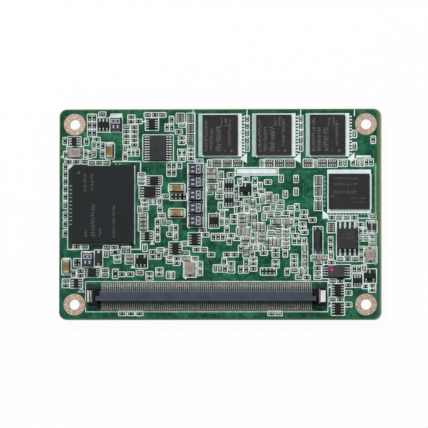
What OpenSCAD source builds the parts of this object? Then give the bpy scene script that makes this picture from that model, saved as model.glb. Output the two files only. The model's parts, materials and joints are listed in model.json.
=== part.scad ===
// System on module: a small computer board with soldered memory and a board-to-board connector.
// It lies connector side up. Origin: centre of the outline, on the plane it rests on.
// +X runs along the long side, +Y towards the memory chips, +Z out of the connector side.

/* [Board] */
// Long side of the board
board_w = 84; // [84:0.5:95]
// Short side of the board
board_d = 55; // [55:0.5:70]
// Thickness of the board
board_t = 2; // [1.2:0.1:2.4]
// Radius of the board's corners
corner_r = 2; // [0.5:0.1:3]
// Distance from the edges of the board to the centres of the mounting holes
hole_edge = 4; // [3.4:0.1:4.4]
// Bore of the mounting holes
hole_d = 2.7; // [2.2:0.1:3.2]
// Outer diameter of the copper ring round each hole
ring_d = 5.8; // [4.6:0.1:6]
// Thickness of the copper rings and of the lining of the holes
plating_t = 0.05; // [0.03:0.01:0.08]

/* [Connector] */
// Centre of the connector along the board
connector_x = -3.5; // [-4:0.1:-3]
// Centre of the connector across the board
connector_y = -21.4; // [-21.6:0.1:-21.2]
// Contacts in each of the two rows
contacts_per_row = 110; // [40:2:110]
// Distance from one contact to the next
contact_pitch = 0.5; // [0.4:0.05:0.5]
// Width of a contact
contact_w = 0.2; // [0.14:0.02:0.24]
// Thickness of the contact strip
contact_t = 0.12; // [0.08:0.01:0.16]
// Play of a contact in its groove, on each side
contact_gap = 0.03; // [0.02:0.01:0.05]
// Distance from the centre line to the tips of the solder tails
tail_reach = 3.4; // [3.2:0.1:3.6]
// Height of the contact's shoulder above the board
tail_rise = 0.5; // [0.3:0.05:0.7]
// Width of the mating ridge
ridge_w = 2.4; // [2:0.1:2.6]
// Height of the mating ridge above the board
ridge_h = 4.2; // [3:0.1:5]
// Thickness of the smooth top of the ridge
ridge_top = 0.5; // [0.3:0.1:0.8]
// Bevel along the top edges of the ridge
ridge_bevel = 0.15; // [0.05:0.05:0.3]
// How far the keyed half of the ridge runs past the other half
key_step = 1; // [0.5:0.1:1.2]
// Width of the comb at the foot of the ridge
comb_w = 4; // [3.6:0.1:4.2]
// Height of the comb above the board
comb_h = 1.1; // [0.9:0.1:1.5]
// Length of the block at each end of the housing
end_l = 3.2; // [3:0.1:3.6]
// Height of the end blocks
end_h = 1.9; // [1.4:0.1:2.4]
// Width of the flanges at the ends
flange_w = 6.2; // [5:0.1:6.6]
// Height of the flanges
flange_h = 0.9; // [0.5:0.1:1.3]
// Width of the metal hold-downs
clip_w = 3; // [2.4:0.1:3.4]
// Length of a hold-down along the housing
clip_l = 1.5; // [1.2:0.1:1.8]
// Sheet thickness of the hold-downs
clip_t = 0.2; // [0.1:0.05:0.3]
// Length over which a hold-down flares out to the width of its block
clip_flare = 0.5; // [0.3:0.1:0.8]
// Plain length of the ridge past the last groove, at each end
ridge_lip = 0.15; // [0.1:0.05:0.3]

/* [Ball grid packages] */
// Width of a memory chip
memory_w = 9; // [8:0.1:9.4]
// Length of a memory chip
memory_l = 10.5; // [9.6:0.1:11]
// Distance between the memory chips in the row
memory_pitch = 14; // [14:0.1:14.4]
// Width of the flash drive package
flash_w = 16; // [14:0.1:16.4]
// Length of the flash drive package
flash_l = 19.8; // [18:0.1:20]
// Height of the solder balls
ball_h = 0.3; // [0.2:0.02:0.4]
// Diameter of the solder balls
ball_d = 0.42; // [0.3:0.02:0.48]
// Thickness of the package base that carries the balls
carrier_t = 0.2; // [0.15:0.05:0.3]
// Thickness of the moulding over it
mould_t = 0.65; // [0.5:0.05:0.9]
// Distance between the balls of a memory chip
memory_ball_pitch = 0.8; // [0.75:0.05:0.8]
// Distance between the balls of the flash drive package
flash_ball_pitch = 1; // [0.8:0.05:1]

/* [Leaded chips] */
// Gap between a leaded body and the board
standoff = 0.1; // [0.05:0.01:0.15]
// Thickness of the chip leads
lead_t = 0.14; // [0.1:0.01:0.18]
// Width of the leads of the smallest chips
small_lead_w = 0.36; // [0.24:0.02:0.44]
// How far the leads of the power switches stand out
switch_lead = 0.6; // [0.5:0.05:0.7]
// Slope of the moulded sides, measured across
draft = 0.12; // [0.05:0.01:0.2]
// Body height of the wide boot memory
boot_h = 1.8; // [1.4:0.1:2]
// Body height of the thin chips
thin_h = 0.95; // [0.8:0.05:1.1]
// Body height of the smallest chips
small_h = 0.9; // [0.7:0.05:1.1]
// Body height of the power switches
switch_h = 0.8; // [0.6:0.05:1]

/* [Chip parts] */
// Length of the smallest chip parts
small_l = 1; // [0.9:0.05:1.1]
// Width of the smallest chip parts
small_w = 0.5; // [0.4:0.05:0.55]
// Height of the smallest capacitors
small_cap_h = 0.5; // [0.4:0.05:0.6]
// Height of the chip resistors
resistor_h = 0.35; // [0.25:0.05:0.5]
// Metal end of the smallest chip parts
small_end = 0.25; // [0.15:0.05:0.3]
// Length of the medium chip parts
medium_l = 1.6; // [1.5:0.05:1.7]
// Width of the medium chip parts
medium_w = 0.8; // [0.7:0.05:0.85]
// Metal end of the medium chip parts
medium_end = 0.35; // [0.25:0.05:0.45]
// Length of the broad capacitors
broad_l = 2; // [1.9:0.05:2.1]
// Width of the broad capacitors
broad_w = 1.2; // [1:0.05:1.25]
// Length of the large ceramic capacitors
large_l = 3.2; // [3:0.1:3.4]
// Width of the large ceramic capacitors
large_w = 1.6; // [1.4:0.1:1.8]
// Height of the large ceramic capacitors
large_h = 1.6; // [1:0.1:1.8]
// Metal end of the large ceramic capacitors
large_end = 0.5; // [0.3:0.05:0.7]
// Length of a resistor array
array_l = 2; // [1.9:0.05:2.1]
// Width of a resistor array over its ends
array_w = 1.2; // [1:0.05:1.3]
// Length of a tantalum capacitor over its straps
tantalum_l = 3.6; // [3.4:0.1:3.8]
// Width of a tantalum capacitor
tantalum_w = 2.8; // [2.4:0.1:2.9]
// Height of a tantalum capacitor
tantalum_h = 1.9; // [1.4:0.1:2.2]
// Width of the end straps of a tantalum capacitor
strap_w = 2.2; // [1.8:0.1:2.3]
// Thickness of the end straps
strap_t = 0.12; // [0.08:0.01:0.16]
// Length of a strap's foot under the body
strap_foot = 0.9; // [0.6:0.1:1.1]
// Length of a crystal
crystal_l = 3.2; // [3:0.1:3.4]
// Width of a crystal
crystal_w = 2.5; // [2.2:0.1:2.7]
// Height of a crystal's ceramic base
crystal_base_h = 0.4; // [0.3:0.05:0.6]
// Height of a crystal's metal lid
crystal_lid_h = 0.35; // [0.2:0.05:0.5]
// Ledge of the base round the metal lid
lid_ledge = 0.15; // [0.1:0.05:0.25]
// Corner radius of the metal lid
lid_r = 0.35; // [0.2:0.05:0.5]
// Length of the watch crystal's body
watch_l = 6.4; // [6:0.1:6.6]
// Width of the watch crystal's body
watch_w = 1.5; // [1.3:0.1:1.7]
// Height of the watch crystal's body
watch_h = 1.4; // [1.2:0.1:1.6]

/* [Processor side] */
// Width of the processor's base
processor_w = 25; // [23:0.5:26]
// Length of the processor's base
processor_l = 27; // [25:0.5:28]
// Thickness of the processor's base
processor_t = 0.8; // [0.6:0.1:1.2]
// Width of the processor's die
die_w = 9; // [7:0.5:12]
// Length of the processor's die
die_l = 11; // [8:0.5:14]
// Thickness of the die
die_t = 0.4; // [0.3:0.05:0.8]
// Distance between the processor's balls
processor_ball_pitch = 0.6; // [0.6:0.05:0.8]
// Gap between the processor's base and the capacitors round it
lower_gap = 1.3; // [0.6:0.1:1.6]
// Side of a power inductor
inductor_w = 5.2; // [4.6:0.1:5.4]
// Height of a power inductor, the tallest piece on this side
inductor_h = 3; // [2.4:0.1:4]
// Width of an inductor's terminals
inductor_tab_w = 2.6; // [1.6:0.1:3.4]
// Thickness of an inductor's terminals
inductor_tab_t = 0.15; // [0.1:0.01:0.2]
// Side of the power controller
power_w = 5; // [4:0.1:5.2]
// Side of the network controller
network_w = 8; // [7:0.1:8.4]
// Height of the two controllers
controller_h = 0.85; // [0.6:0.05:1]
// Distance from a controller's corner to its first pad
pad_margin = 0.6; // [0.4:0.1:0.8]

/* [Hidden] */
$fn = 48;

// Distances between the mounting holes along the long and the short side.
hole_dx = board_w - 2 * hole_edge;
hole_dy = board_d - 2 * hole_edge;

// Levels: the inductors stand on the resting plane and carry the board.
board_bottom = inductor_h;
board_top = board_bottom + board_t;

// Places are [x, y, turn] in millimetres from the middle of the board.
function at(xs, ys, turn) = [for (x = xs) for (y = ys) [x, y, turn]];
function turned(v) = [for (i = [len(v) - 1:-1:0]) v[i]];

// Memory: three in a row and one turned beside the processor.
memory_row_y = 20.65;
memory_side_x = 33.6;
memory_side_y = 5.95;
memory_spots = [
    [0, memory_row_y, 0],
    [memory_pitch, memory_row_y, 0],
    [2 * memory_pitch, memory_row_y, 0],
    [memory_side_x, memory_side_y, 90]
];
between_1 = memory_pitch / 2;
between_2 = memory_pitch * 3 / 2;
beside_3 = memory_pitch * 5 / 2;
flash_spot = [-30.5, 2.45, 0];

// Leaded chips: place, body across and along the leads' rows, span over the tips, pitch, leads a side.
buffer_spot = [-16.2, 17.3, 0];
buffer_size = [4.4, 6.5, 6.9, 0.65, 10];
boot_spot = [33.2, -6.4, 90];
boot_size = [5.3, 5.2, 8, 1.27, 4];
monitor_spot = [30.3, -14.95, 0];
monitor_size = [4.3, 3, 6.6, 0.65, 4];
translators = [
    [[-18.3, 5.85, 0], [3, 2.8, 4.9, 0.65, 4]],
    [[-17.2, 8.8, 0], [2.1, 2, 3.4, 0.5, 4]],
    [[-1.6, -1.7, 90], [1.9, 2.2, 3.1, 0.5, 4]],
    [[-33.35, -15.1, 0], [2.1, 2, 3.3, 0.5, 4]]
];

// Smallest leaded chips: place, body across and along, span, pitch, leads on the two sides.
six = [[-1, 0, 1], [-1, 0, 1]];
five = [[-1, 1], [-1, 0, 1]];
three = [[0], [-1, 1]];
small_chip_list = [
    [[-37.5, -17.9, 0], [1.2, 2.1, 2.6, 0.65], six],
    [[-19, -5.6, 0], [1.2, 2, 2.6, 0.65], six],
    [[-38.1, 19.1, 0], [1.3, 2, 2.8, 0.65], six],
    [[-30.5, 23.4, 90], [1.6, 2.9, 3, 0.95], six],
    [[2.3, 7.5, 90], [1.25, 2.2, 2.8, 0.7], six],
    [[2.3, 3.6, 90], [1.25, 2.2, 2.8, 0.7], six],
    [[35.8, -17.3, 90], [1.3, 2.2, 2.8, 0.65], six],
    [[-20.6, -12.2, 90], [1.6, 2.9, 3, 0.95], five],
    [[6.6, 6.45, 90], [1.4, 2.9, 3, 0.95], three],
    [[39, -16.1, 90], [1.4, 2.9, 3, 0.95], three]
];

// Power switches: place, body across and along, distance between leads, leads a side.
switch_list = [
    [[-17.8, 23.6, 0], [1.6, 2.6, 0.6, 4]],
    [[-11.6, -8.9, 0], [1.6, 2.8, 0.65, 4]],
    [[-6.6, -6.5, 0], [1.6, 2.8, 0.65, 4]],
    [[30.7, -19.8, 0], [1.6, 2.8, 0.65, 4]],
    [[30.7, -24.6, 0], [1.6, 2.8, 0.65, 4]]
];
function switch_size(c) = [c[0], c[1], c[0] + 2 * switch_lead, c[2], c[3]];

tantalum_spots = concat(
    at([-6.35], [11.7, 8.35, 5, 1.65, -1.7], 0),
    [[-27.2, 23.5, 90], [-34.5, -11.8, 90]]
);
large_spots = [[-28.8, 16.6, 90], [-40.1, -13.6, 90], [-11.3, 6.85, 0], [-11.3, 0.35, 0]];
broad_spots = [
    [-2.2, 11.2, 0], [-2.2, 9.75, 0], [-2, 7.1, 0], [17.6, -2, 0],
    [14.6, -2, 0], [12.6, 4.3, 90], [6.9, -9.8, 90]
];
medium_spots = concat(
    at([-20.1], [-0.3, -1.4, -2.5, -3.6], 0),
    at([-23.5], [-11.1, -12.2], 0),
    at([5.8], [-0.5, -1.6, -2.7], 0),
    at([10.9], [-5.3, -6.5], 0),
    [[-8.7, -11.6, 0], [6.7, -6.3, 0], [24.9, -11.4, 0], [26.9, -11.4, 0], [25.8, -12.6, 0]],
    at([7.5, 9], [-0.9], 90),
    at([5, 6.1, 7.3], [-4.5], 90),
    at([12.2, 13.2, 14.2, 15.2], [-7.3], 90),
    at([9, 10, 11], [-3.4], 90),
    [[8.6, 2.7, 90], [11.1, 4, 90]],
    at([22.1], [-8.9, -11, -13], 90)
);

// Smallest capacitors, upright and then lying in the plan.
small_cap_spots = concat(
    at([between_1, between_2], [24.8, 23, 21.2, 19.3, 17.4], 90),
    at([beside_3], [20.9, 17.7], 90),
    at([31.4, 32.5, 35.9, 37], [13.4], 90),
    at([-2.7, 11, 24.8], [13.3], 90),
    at([-25.1, -23.9], [-9.3], 90),
    at([-13.4, -12.4], [-15.8], 90),
    at([-1.2, 0], [-14.1], 90),
    at([8.5], [-5.2, -7], 90),
    at([9.4, 10.4], [-8.6], 90),
    at([21.3, 22.3], [-14.8], 90),
    at([-18.1, -17.1], [3.5], 90),
    [
        [-32.9, 18.3, 90], [-33, 15.9, 90], [-40.4, 2.5, 90], [-29.8, -10.2, 90],
        [-19.6, -8.7, 90], [-14.1, -10, 90], [-12.7, -3.6, 90], [-11.6, -5.7, 90],
        [-14.6, -1.9, 90], [5.2, 8.4, 90], [10.4, 7.4, 90], [4.3, 4.7, 90],
        [4.4, 1.2, 90], [15.9, 9.3, 90], [19.8, 9.2, 90], [19.8, 5.9, 90],
        [17, 5.2, 90], [14.6, 4.2, 90], [11.5, -0.6, 90], [22, -7, 90],
        [28.9, -10.7, 90], [37.5, -14.1, 90], [8, -8.6, 90], [-15.8, 3.5, 90],
        [-20.9, 1.2, 90], [0.1, 7.7, 90], [0.3, 10.3, 90], [0.1, 2.2, 90],
        [-24.7, 17.3, 90]
    ],
    at([-33.5, -31.6, -29.7], [13.5], 0),
    at([-18.9, -15.1], [26], 0),
    at([-20.5], [10.3, 9.3, 8.3], 0),
    at([-19.6], [2.7, 1.7], 0),
    at([-13.1], [-11.2, -12.2], 0),
    at([13.3], [-3.5, -4.9], 0),
    at([15.7], [3.1, 2], 0),
    at([17.2], [-4.3, -5.5, -6.5, -7.5, -8.6], 0),
    at([15.2], [-4.3, -5.6], 0),
    at([25.4], [-15.3, -16.4], 0),
    at([31.1, 32.9], [-0.9], 0),
    at([31.4, 35.2], [-11.7], 0),
    at([29.3], [-17.4, -22.2], 0),
    at([39.7], [-0.6, -5.8, -6.8, -7.9], 0),
    at([36.5, 38], [-6.4], 0),
    at([2.9], [-13.8, -14.7], 0),
    at([-2.8, -0.2], [5.8], 0),
    at([-30], [-14.6, -15.8], 0),
    at([13.4, 15.3], [-25.8], 0),
    [
        [-30.8, 26.2, 0], [-35.4, 13.8, 0], [-35.3, -8.4, 0], [-29.5, -8.7, 0],
        [-40.2, -17.4, 0], [-24.5, 22.8, 0], [-9.9, 23.4, 0], [-26.8, -12.1, 0],
        [-15.2, -0.3, 0], [-15.5, -9.3, 0], [-20.9, -15.2, 0], [-14.1, 4.7, 0],
        [-13.5, -2.3, 0], [-9.2, -7.6, 0], [-8.9, -10.1, 0], [-4.2, -9.2, 0],
        [-6.6, -11.6, 0], [13.2, -0.3, 0], [15, 0.2, 0], [18.6, 1.6, 0],
        [19.4, -14.6, 0], [20.6, -16.4, 0], [25.6, 4.1, 0], [6.4, -7.6, 0],
        [-7.6, 17.8, 0]
    ]
);

// Chip resistors, upright and then lying in the plan.
resistor_spots = concat(
    at([-34.1, -32.9], [25.3, 23.3, 21.3], 90),
    at([-40.4], [12.4, 10.5, 8.6, 6.6, 4.6, -0.2, -2.5, -4.9], 90),
    at([-23.7, -22.7, -21.7], [16.2], 90),
    at([-13.8, -12.7], [22.7], 90),
    at([-10.5, -9.5], [16.1], 90),
    at([-13.3, -12.1], [12.8, 10.9], 90),
    at([-12.6, -11.5, -10.4, -9.3], [4.6], 90),
    at([-16.3], [-2, -4.1, -6.2], 90),
    at([-1.7, -0.5, 0.7], [-5.9], 90),
    at([9.1], [8.7, 6.6], 90),
    at([5.4, 6.8], [-14.4], 90),
    at([11.1, 12.1, 13.1, 14.1], [-14.9], 90),
    at([19.4, 20.6], [-7], 90),
    at([34.7, 38.1, 39.3], [13.5], 90),
    at([28.8], [-6.8, -8.7], 90),
    at([36.7, 37.7], [-4.4], 90),
    at([36.8], [-9.3, -11.3], 90),
    at([35, 36.2], [-14.3], 90),
    [
        [-40.5, 19.2, 90], [-34.9, 19, 90], [-31.8, 18.2, 90], [-30.7, 17.9, 90],
        [-30.7, 15.8, 90], [-40.3, 15.6, 90], [-35, 15.9, 90], [-34.1, 15.6, 90],
        [-38.2, -15.4, 90], [-24.8, 15.1, 90], [-12.7, 24.7, 90], [-10.6, 12.9, 90],
        [-15.7, 1.2, 90], [-11.6, -3.6, 90], [-16, -10.7, 90], [1.8, -4.2, 90],
        [2.4, -7, 90], [4.2, 6.6, 90], [5.4, -9, 90], [8.4, -10.4, 90],
        [1.1, -12.3, 90], [1.3, -14.2, 90], [6.8, -12.4, 90], [20, 1.8, 90],
        [18.7, -0.3, 90], [19, -4, 90], [19.9, -1.9, 90], [17, -10.2, 90],
        [17.5, -15, 90], [39.9, 19.4, 90]
    ],
    at([-39.6, -37.6], [13.8], 0),
    at([-36.4], [-14.8, -16], 0),
    at([-23.2], [25.4, 24.3], 0),
    at([-24.5], [21.6, 20.5, 18.8], 0),
    at([-22.4], [22.8, 21.6, 20.5, 19.3, 18.2], 0),
    at([-10], [19.9, 18.8, 14.4], 0),
    at([-7.6], [16.8, 15.7, 14.6], 0),
    at([-17.5], [-9.8, -11], 0),
    at([-25.6, -23.4], [-15.6], 0),
    at([-18.4], [-15.5, -16.5], 0),
    at([-15.8], [-14.5, -15.5], 0),
    at([-25.5, -23.2, -21], [-25.8], 0),
    at([-11.3], [-11.6, -12.7], 0),
    at([3.7], [-0.6, -1.9], 0),
    at([1.8, 3.8], [-10.5], 0),
    at([8.7], [-11.7, -12.7, -14.2], 0),
    at([21.5], [-2.6, -3.6], 0),
    at([14.5], [-9.4, -10.6, -12.4, -13.4], 0),
    at([19.3], [-11, -12.1, -13.2], 0),
    at([29.1, 34.9], [-0.9], 0),
    at([33.4], [-18.5, -20.5, -23.5], 0),
    at([39.6], [-18.7, -19.7], 0),
    [
        [-32.3, 19.6, 0], [-37.4, -8.4, 0], [-27.6, -8.7, 0], [-37.2, -12.1, 0],
        [-37.3, -13.1, 0], [-40.3, -18.5, 0], [-21.3, 24.3, 0], [-17, 26, 0],
        [-10.8, 21.6, 0], [-19.7, 3.7, 0], [-26.8, -11.1, 0], [-13, -5.2, 0],
        [-4.5, -4.1, 0], [-3.8, -5.3, 0], [-6.1, -9.2, 0], [-2.3, -10.5, 0],
        [-0.2, 4.6, 0], [2.8, 10.3, 0], [6.7, 9.2, 0], [10.7, 6, 0],
        [9.6, 5, 0], [12.5, 8.4, 0], [4.7, 2.7, 0], [2.9, -5.6, 0],
        [4.4, -6.2, 0], [12.6, -8.8, 0], [11.4, -10.1, 0], [2.9, -12.9, 0],
        [21.9, 0.5, 0], [21.8, -0.6, 0], [24.1, -1.5, 0], [22, -4.7, 0],
        [19.6, -5.6, 0], [22.6, -16.5, 0], [25.4, -14.1, 0], [17.2, 0.3, 0],
        [17.2, -3.3, 0], [33.2, -11.7, 0], [31.3, -17.4, 0], [31.3, -22.2, 0],
        [37.9, -18.8, 0], [29, -12.6, 0], [36.5, -2.7, 0]
    ]
);
medium_resistor_spots = [[-27.3, -9.9, 0], [-27.3, -15.5, 90]];

array_spots = concat(
    at([-0.8, 1.8, 4.6, 12.7, 15.5, 18.2, 23, 26.6, 29.3], [13.3], 0),
    at([-10.4, -7.7], [25.1], 90),
    at([-7.7], [22.5, 19.8], 90),
    at([25.6], [8.7, 6, 2.3], 90),
    [[29, -3.5, 90]]
);

// Diodes: place, body across and along, span.
diode_list = [
    [[-31.7, -11.4, 90], [2.7, 1.5, 3.7]],
    [[38.8, -3.3, 90], [1.7, 0.9, 2.5]],
    [[40.1, -3.3, 90], [1.7, 0.9, 2.5]]
];
crystal_spots = [[-37.9, 16.1, 0], [-7.8, -14.2, 90], [39.1, -10.6, 90]];
watch_spot = [25.5, -6.8, 90];

// Processor side, in the same plan.
processor_spot = [10, -3, 0];
inductor_spots = [
    [36.8, 14.8, 0], [34, -14.5, 0], [-34, 13, 90], [-34, -13, 90], [-12, 9, 90], [-12, 1, 90]
];
power_spot = [-20.5, 5, 0];
network_spot = [-21, -11, 0];
lower_reach_x = processor_w / 2 + lower_gap + medium_l / 2;
lower_reach_y = processor_l / 2 + lower_gap + medium_l / 2;
lower_cap_spots = concat(
    at([0, 2.5, 5, 7.5, 10, 12.5, 15, 17.5, 20], [processor_spot[1] + lower_reach_y], 90),
    at([processor_spot[0] + lower_reach_x], [-14, -11, -8, -5, -2, 1, 4], 0),
    at([processor_spot[0] - lower_reach_x], [-14, -11, -8, -5, -2, 1, 4, 7], 0),
    at([0, 4, 8, 12, 16, 20], [processor_spot[1] - lower_reach_y], 90)
);

// Moves a shape to each place in a list, on the connector side.
module on_top(spots) {
    for (s = spots)
        translate([s[0], s[1], board_top])
            rotate(s[2])
                children();
}

// The same on the processor side, where up points away from the board.
module on_bottom(spots) {
    for (s = spots)
        translate([s[0], s[1], board_bottom])
            mirror([0, 0, 1])
                rotate(s[2])
                    children();
}

// A block that stands on z, centred in plan.
module block(w, d, h, z = 0) {
    translate([-w / 2, -d / 2, z])
        cube([w, d, h]);
}

// A flat rectangle with round corners.
module rounded(w, d, r) {
    square([w - 2 * r, d], center = true);
    square([w, d - 2 * r], center = true);
    for (x = [-1, 1], y = [-1, 1])
        translate([x * (w / 2 - r), y * (d / 2 - r)])
            circle(r = r);
}

// A side outline in (across, height), made solid along the other direction.
module slab(points, depth) {
    translate([0, depth / 2, 0])
        rotate([90, 0, 0])
            linear_extrude(height = depth)
                polygon(points);
}

// A moulded body: straight where the lead frame leaves it, sloped above and below.
module moulded(w, d, h, z0, band_z, band_h) {
    function side(s) = [
        [-s / 2 + draft, z0], [s / 2 - draft, z0], [s / 2, band_z], [s / 2, band_z + band_h],
        [s / 2 - draft, z0 + h], [-s / 2 + draft, z0 + h], [-s / 2, band_z + band_h], [-s / 2, band_z]
    ];
    intersection() {
        slab(side(w), 2 * d);
        rotate(90)
            slab(side(d), 2 * w);
    }
}

// A formed lead along +X: shoulder at the body, sloped riser, foot on the board.
module formed_lead(root, tip, rise, w, t) {
    run = tip - root;
    heel = tip - run * 0.45;
    bend = root + run * 0.25 + t;
    slab([
        [tip, 0], [tip, t], [heel, t], [bend, rise + t], [root, rise + t],
        [root, rise], [bend - t * 0.8, rise], [heel - t * 0.8, 0]
    ], w);
}

// Body and leads of a chip with leads on two sides; size is [across, along, span, pitch, count].
module leaded_body(size, h) {
    moulded(size[0], size[1], h, standoff, standoff + h / 2, lead_t);
}

module leaded_leads(size, h) {
    for (side = [0, 180], i = [0:size[4] - 1])
        rotate(side)
            translate([0, (i - (size[4] - 1) / 2) * size[3], 0])
                formed_lead(size[0] / 2, size[2] / 2, standoff + h / 2, size[3] * 0.4, lead_t);
}

// A chip part: a body between two metal ends.
module chip_body(l, w, h, end) {
    block(l - 2 * end, w, h);
}

module chip_ends(l, w, h, end) {
    for (side = [-1, 1])
        translate([side * (l - end) / 2, 0, 0])
            block(end, w, h);
}

// Solder balls in a grid, with the columns in the list of steps.
module ball_grid(columns, rows, pitch) {
    for (x = columns, y = [-(rows - 1) / 2:(rows - 1) / 2])
        translate([x * pitch, y * pitch, 0])
            cylinder(d = ball_d, h = ball_h);
}

// Balls along the rim of a package only, where they can be seen.
module ball_rim(w, l, pitch) {
    nx = floor((w - 2 * ball_d) / pitch);
    ny = floor((l - 2 * ball_d) / pitch);
    for (i = [0:nx], s = [-1, 1])
        translate([(i - nx / 2) * pitch, s * ny / 2 * pitch, 0])
            cylinder(d = ball_d, h = ball_h);
    for (j = [1:ny - 1], s = [-1, 1])
        translate([s * nx / 2 * pitch, (j - ny / 2) * pitch, 0])
            cylinder(d = ball_d, h = ball_h);
}

// Board: rounded outline with four holes, each opened up for its copper lining.
module hole_places() {
    for (x = [-1, 1], y = [-1, 1])
        translate([x * hole_dx / 2, y * hole_dy / 2])
            children();
}

module circuit_board() {
    color([0.07, 0.36, 0.24])
        translate([0, 0, board_bottom])
            linear_extrude(height = board_t)
                difference() {
                    rounded(board_w, board_d, corner_r);
                    hole_places()
                        circle(d = hole_d + 2 * plating_t);
                }
}

// Plated holes: a lining with a flat ring on each face of the board.
module hole_rings() {
    color([0.84, 0.7, 0.6])
        hole_places()
            translate([0, 0, board_bottom])
                rotate_extrude()
                    union() {
                        translate([hole_d / 2, -plating_t])
                            square([plating_t, board_t + 2 * plating_t]);
                        for (z = [-plating_t, board_t])
                            translate([hole_d / 2, z])
                                square([(ring_d - hole_d) / 2, plating_t]);
                    }
}

// Connector: a ridge with a groove for each contact, on a comb that spaces the tails.
row_l = (contacts_per_row - 1) * contact_pitch;
groove_w = contact_w + 2 * contact_gap;
groove_y = ridge_w / 2 - contact_t;
ridge_l = row_l + 2 * groove_w + 2 * ridge_lip;
housing_l = ridge_l + 2 * end_l;

function teeth(y_out, y_in) = [
    for (i = [0:contacts_per_row - 1])
        for (p = [[-1, y_out], [-1, y_in], [1, y_in], [1, y_out]])
            [(i - (contacts_per_row - 1) / 2) * contact_pitch + p[0] * groove_w / 2, p[1]]
];

module comb(y_out, y_in, h) {
    upper = concat([[-ridge_l / 2, y_out]], teeth(y_out, y_in), [[ridge_l / 2, y_out]]);
    lower = turned([for (p = upper) [p[0], -p[1]]]);
    linear_extrude(height = h)
        polygon(concat(upper, lower));
}

// A bevelled bar along X between two sides.
module bevelled(l, y0, y1, z0, z1) {
    b = ridge_bevel;
    rotate(90)
        slab([[y0, z0], [y1, z0], [y1, z1 - b], [y1 - b, z1], [y0 + b, z1], [y0, z1 - b]], l);
}

module at_connector() {
    translate([connector_x, connector_y, board_top])
        children();
}

module connector_housing() {
    color([0.2, 0.22, 0.25])
        at_connector() {
            translate([0, 0, standoff])
                comb(comb_w / 2, groove_y, comb_h - standoff);
            translate([0, 0, comb_h])
                comb(ridge_w / 2, groove_y, ridge_h - ridge_top - comb_h);
            bevelled(ridge_l, -ridge_w / 2, ridge_w / 2, ridge_h - ridge_top, ridge_h);
            for (side = [-1, 1]) {
                translate([side * (ridge_l + key_step) / 2, 0, 0])
                    bevelled(key_step, -ridge_w / 2, 0, 0, ridge_h);
                translate([side * (ridge_l + end_l) / 2, 0, 0]) {
                    block(end_l, comb_w, end_h);
                    translate([side * (end_l - clip_l) / 4, 0, 0])
                        block((end_l + clip_l) / 2, flange_w, flange_h);
                }
            }
        }
}

// One contact: tail on the board, shoulder through the comb, blade up its groove.
module contact() {
    foot = tail_reach - (tail_reach - comb_w / 2) * 0.6;
    bend = comb_w / 2 + contact_t;
    top = ridge_h - ridge_top;
    rotate(90)
        slab([
            [tail_reach, 0], [tail_reach, contact_t], [foot, contact_t], [bend, tail_rise + contact_t],
            [ridge_w / 2, tail_rise + contact_t], [ridge_w / 2, top], [groove_y, top], [groove_y, tail_rise],
            [bend - contact_t, tail_rise], [foot - contact_t, 0]
        ], contact_w);
}

module contact_row() {
    for (i = [0:contacts_per_row - 1])
        translate([(i - (contacts_per_row - 1) / 2) * contact_pitch, 0, 0])
            contact();
}

module contact_row_upper() {
    color([0.78, 0.76, 0.7])
        at_connector()
            contact_row();
}

module contact_row_lower() {
    color([0.78, 0.76, 0.7])
        at_connector()
            rotate(180)
                contact_row();
}

// Hold-downs: sheet over each end block, flared inwards, bent down to the board outside it.
module connector_hold_downs() {
    inner = housing_l / 2 - clip_l;
    outer = housing_l / 2;
    color([0.82, 0.82, 0.8])
        at_connector()
            for (side = [0, 180])
                rotate(side) {
                    translate([0, 0, end_h])
                        linear_extrude(height = clip_t)
                            polygon([
                                [inner, -comb_w / 2], [inner + clip_flare, -clip_w / 2],
                                [outer + clip_t, -clip_w / 2], [outer + clip_t, clip_w / 2],
                                [inner + clip_flare, clip_w / 2], [inner, comb_w / 2]
                            ]);
                    translate([outer, -clip_w / 2, 0])
                        cube([clip_t, clip_w, end_h]);
                }
}

// Flash drive: carrier and moulding on a grid of balls.
module flash_drive_package() {
    color([0.17, 0.18, 0.2])
        on_top([flash_spot])
            block(flash_w, flash_l, mould_t, ball_h + carrier_t);
}

module flash_drive_carrier() {
    color([0.1, 0.25, 0.15])
        on_top([flash_spot])
            block(flash_w, flash_l, carrier_t, ball_h);
}

module flash_drive_balls() {
    color([0.7, 0.7, 0.7])
        on_top([flash_spot])
            ball_grid([-5:5], 13, flash_ball_pitch);
}

// Memory chips.
module memory_moulding() {
    block(memory_w, memory_l, mould_t, ball_h + carrier_t);
}

module memory_chip(i) {
    color([0.22, 0.21, 0.22])
        on_top([memory_spots[i]])
            memory_moulding();
}

module memory_chip_1() {
    memory_chip(0);
}

module memory_chip_2() {
    memory_chip(1);
}

module memory_chip_3() {
    memory_chip(2);
}

module memory_chip_4() {
    memory_chip(3);
}

module lower_memory_chips() {
    color([0.22, 0.21, 0.22])
        on_bottom(memory_spots)
            memory_moulding();
}

module memory_carriers() {
    color([0.1, 0.25, 0.15]) {
        on_top(memory_spots)
            block(memory_w, memory_l, carrier_t, ball_h);
        on_bottom(memory_spots)
            block(memory_w, memory_l, carrier_t, ball_h);
    }
}

module memory_ball_set() {
    ball_grid([-4, -3, -2, 2, 3, 4], 13, memory_ball_pitch);
}

module memory_balls() {
    color([0.7, 0.7, 0.7]) {
        on_top(memory_spots)
            memory_ball_set();
        on_bottom(memory_spots)
            memory_ball_set();
    }
}

// Leaded chips.
module buffer_chip() {
    color([0.24, 0.25, 0.27])
        on_top([buffer_spot])
            leaded_body(buffer_size, thin_h);
}

module buffer_chip_leads() {
    color([0.8, 0.8, 0.8])
        on_top([buffer_spot])
            leaded_leads(buffer_size, thin_h);
}

module boot_memory() {
    color([0.16, 0.17, 0.18])
        on_top([boot_spot])
            leaded_body(boot_size, boot_h);
}

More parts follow.
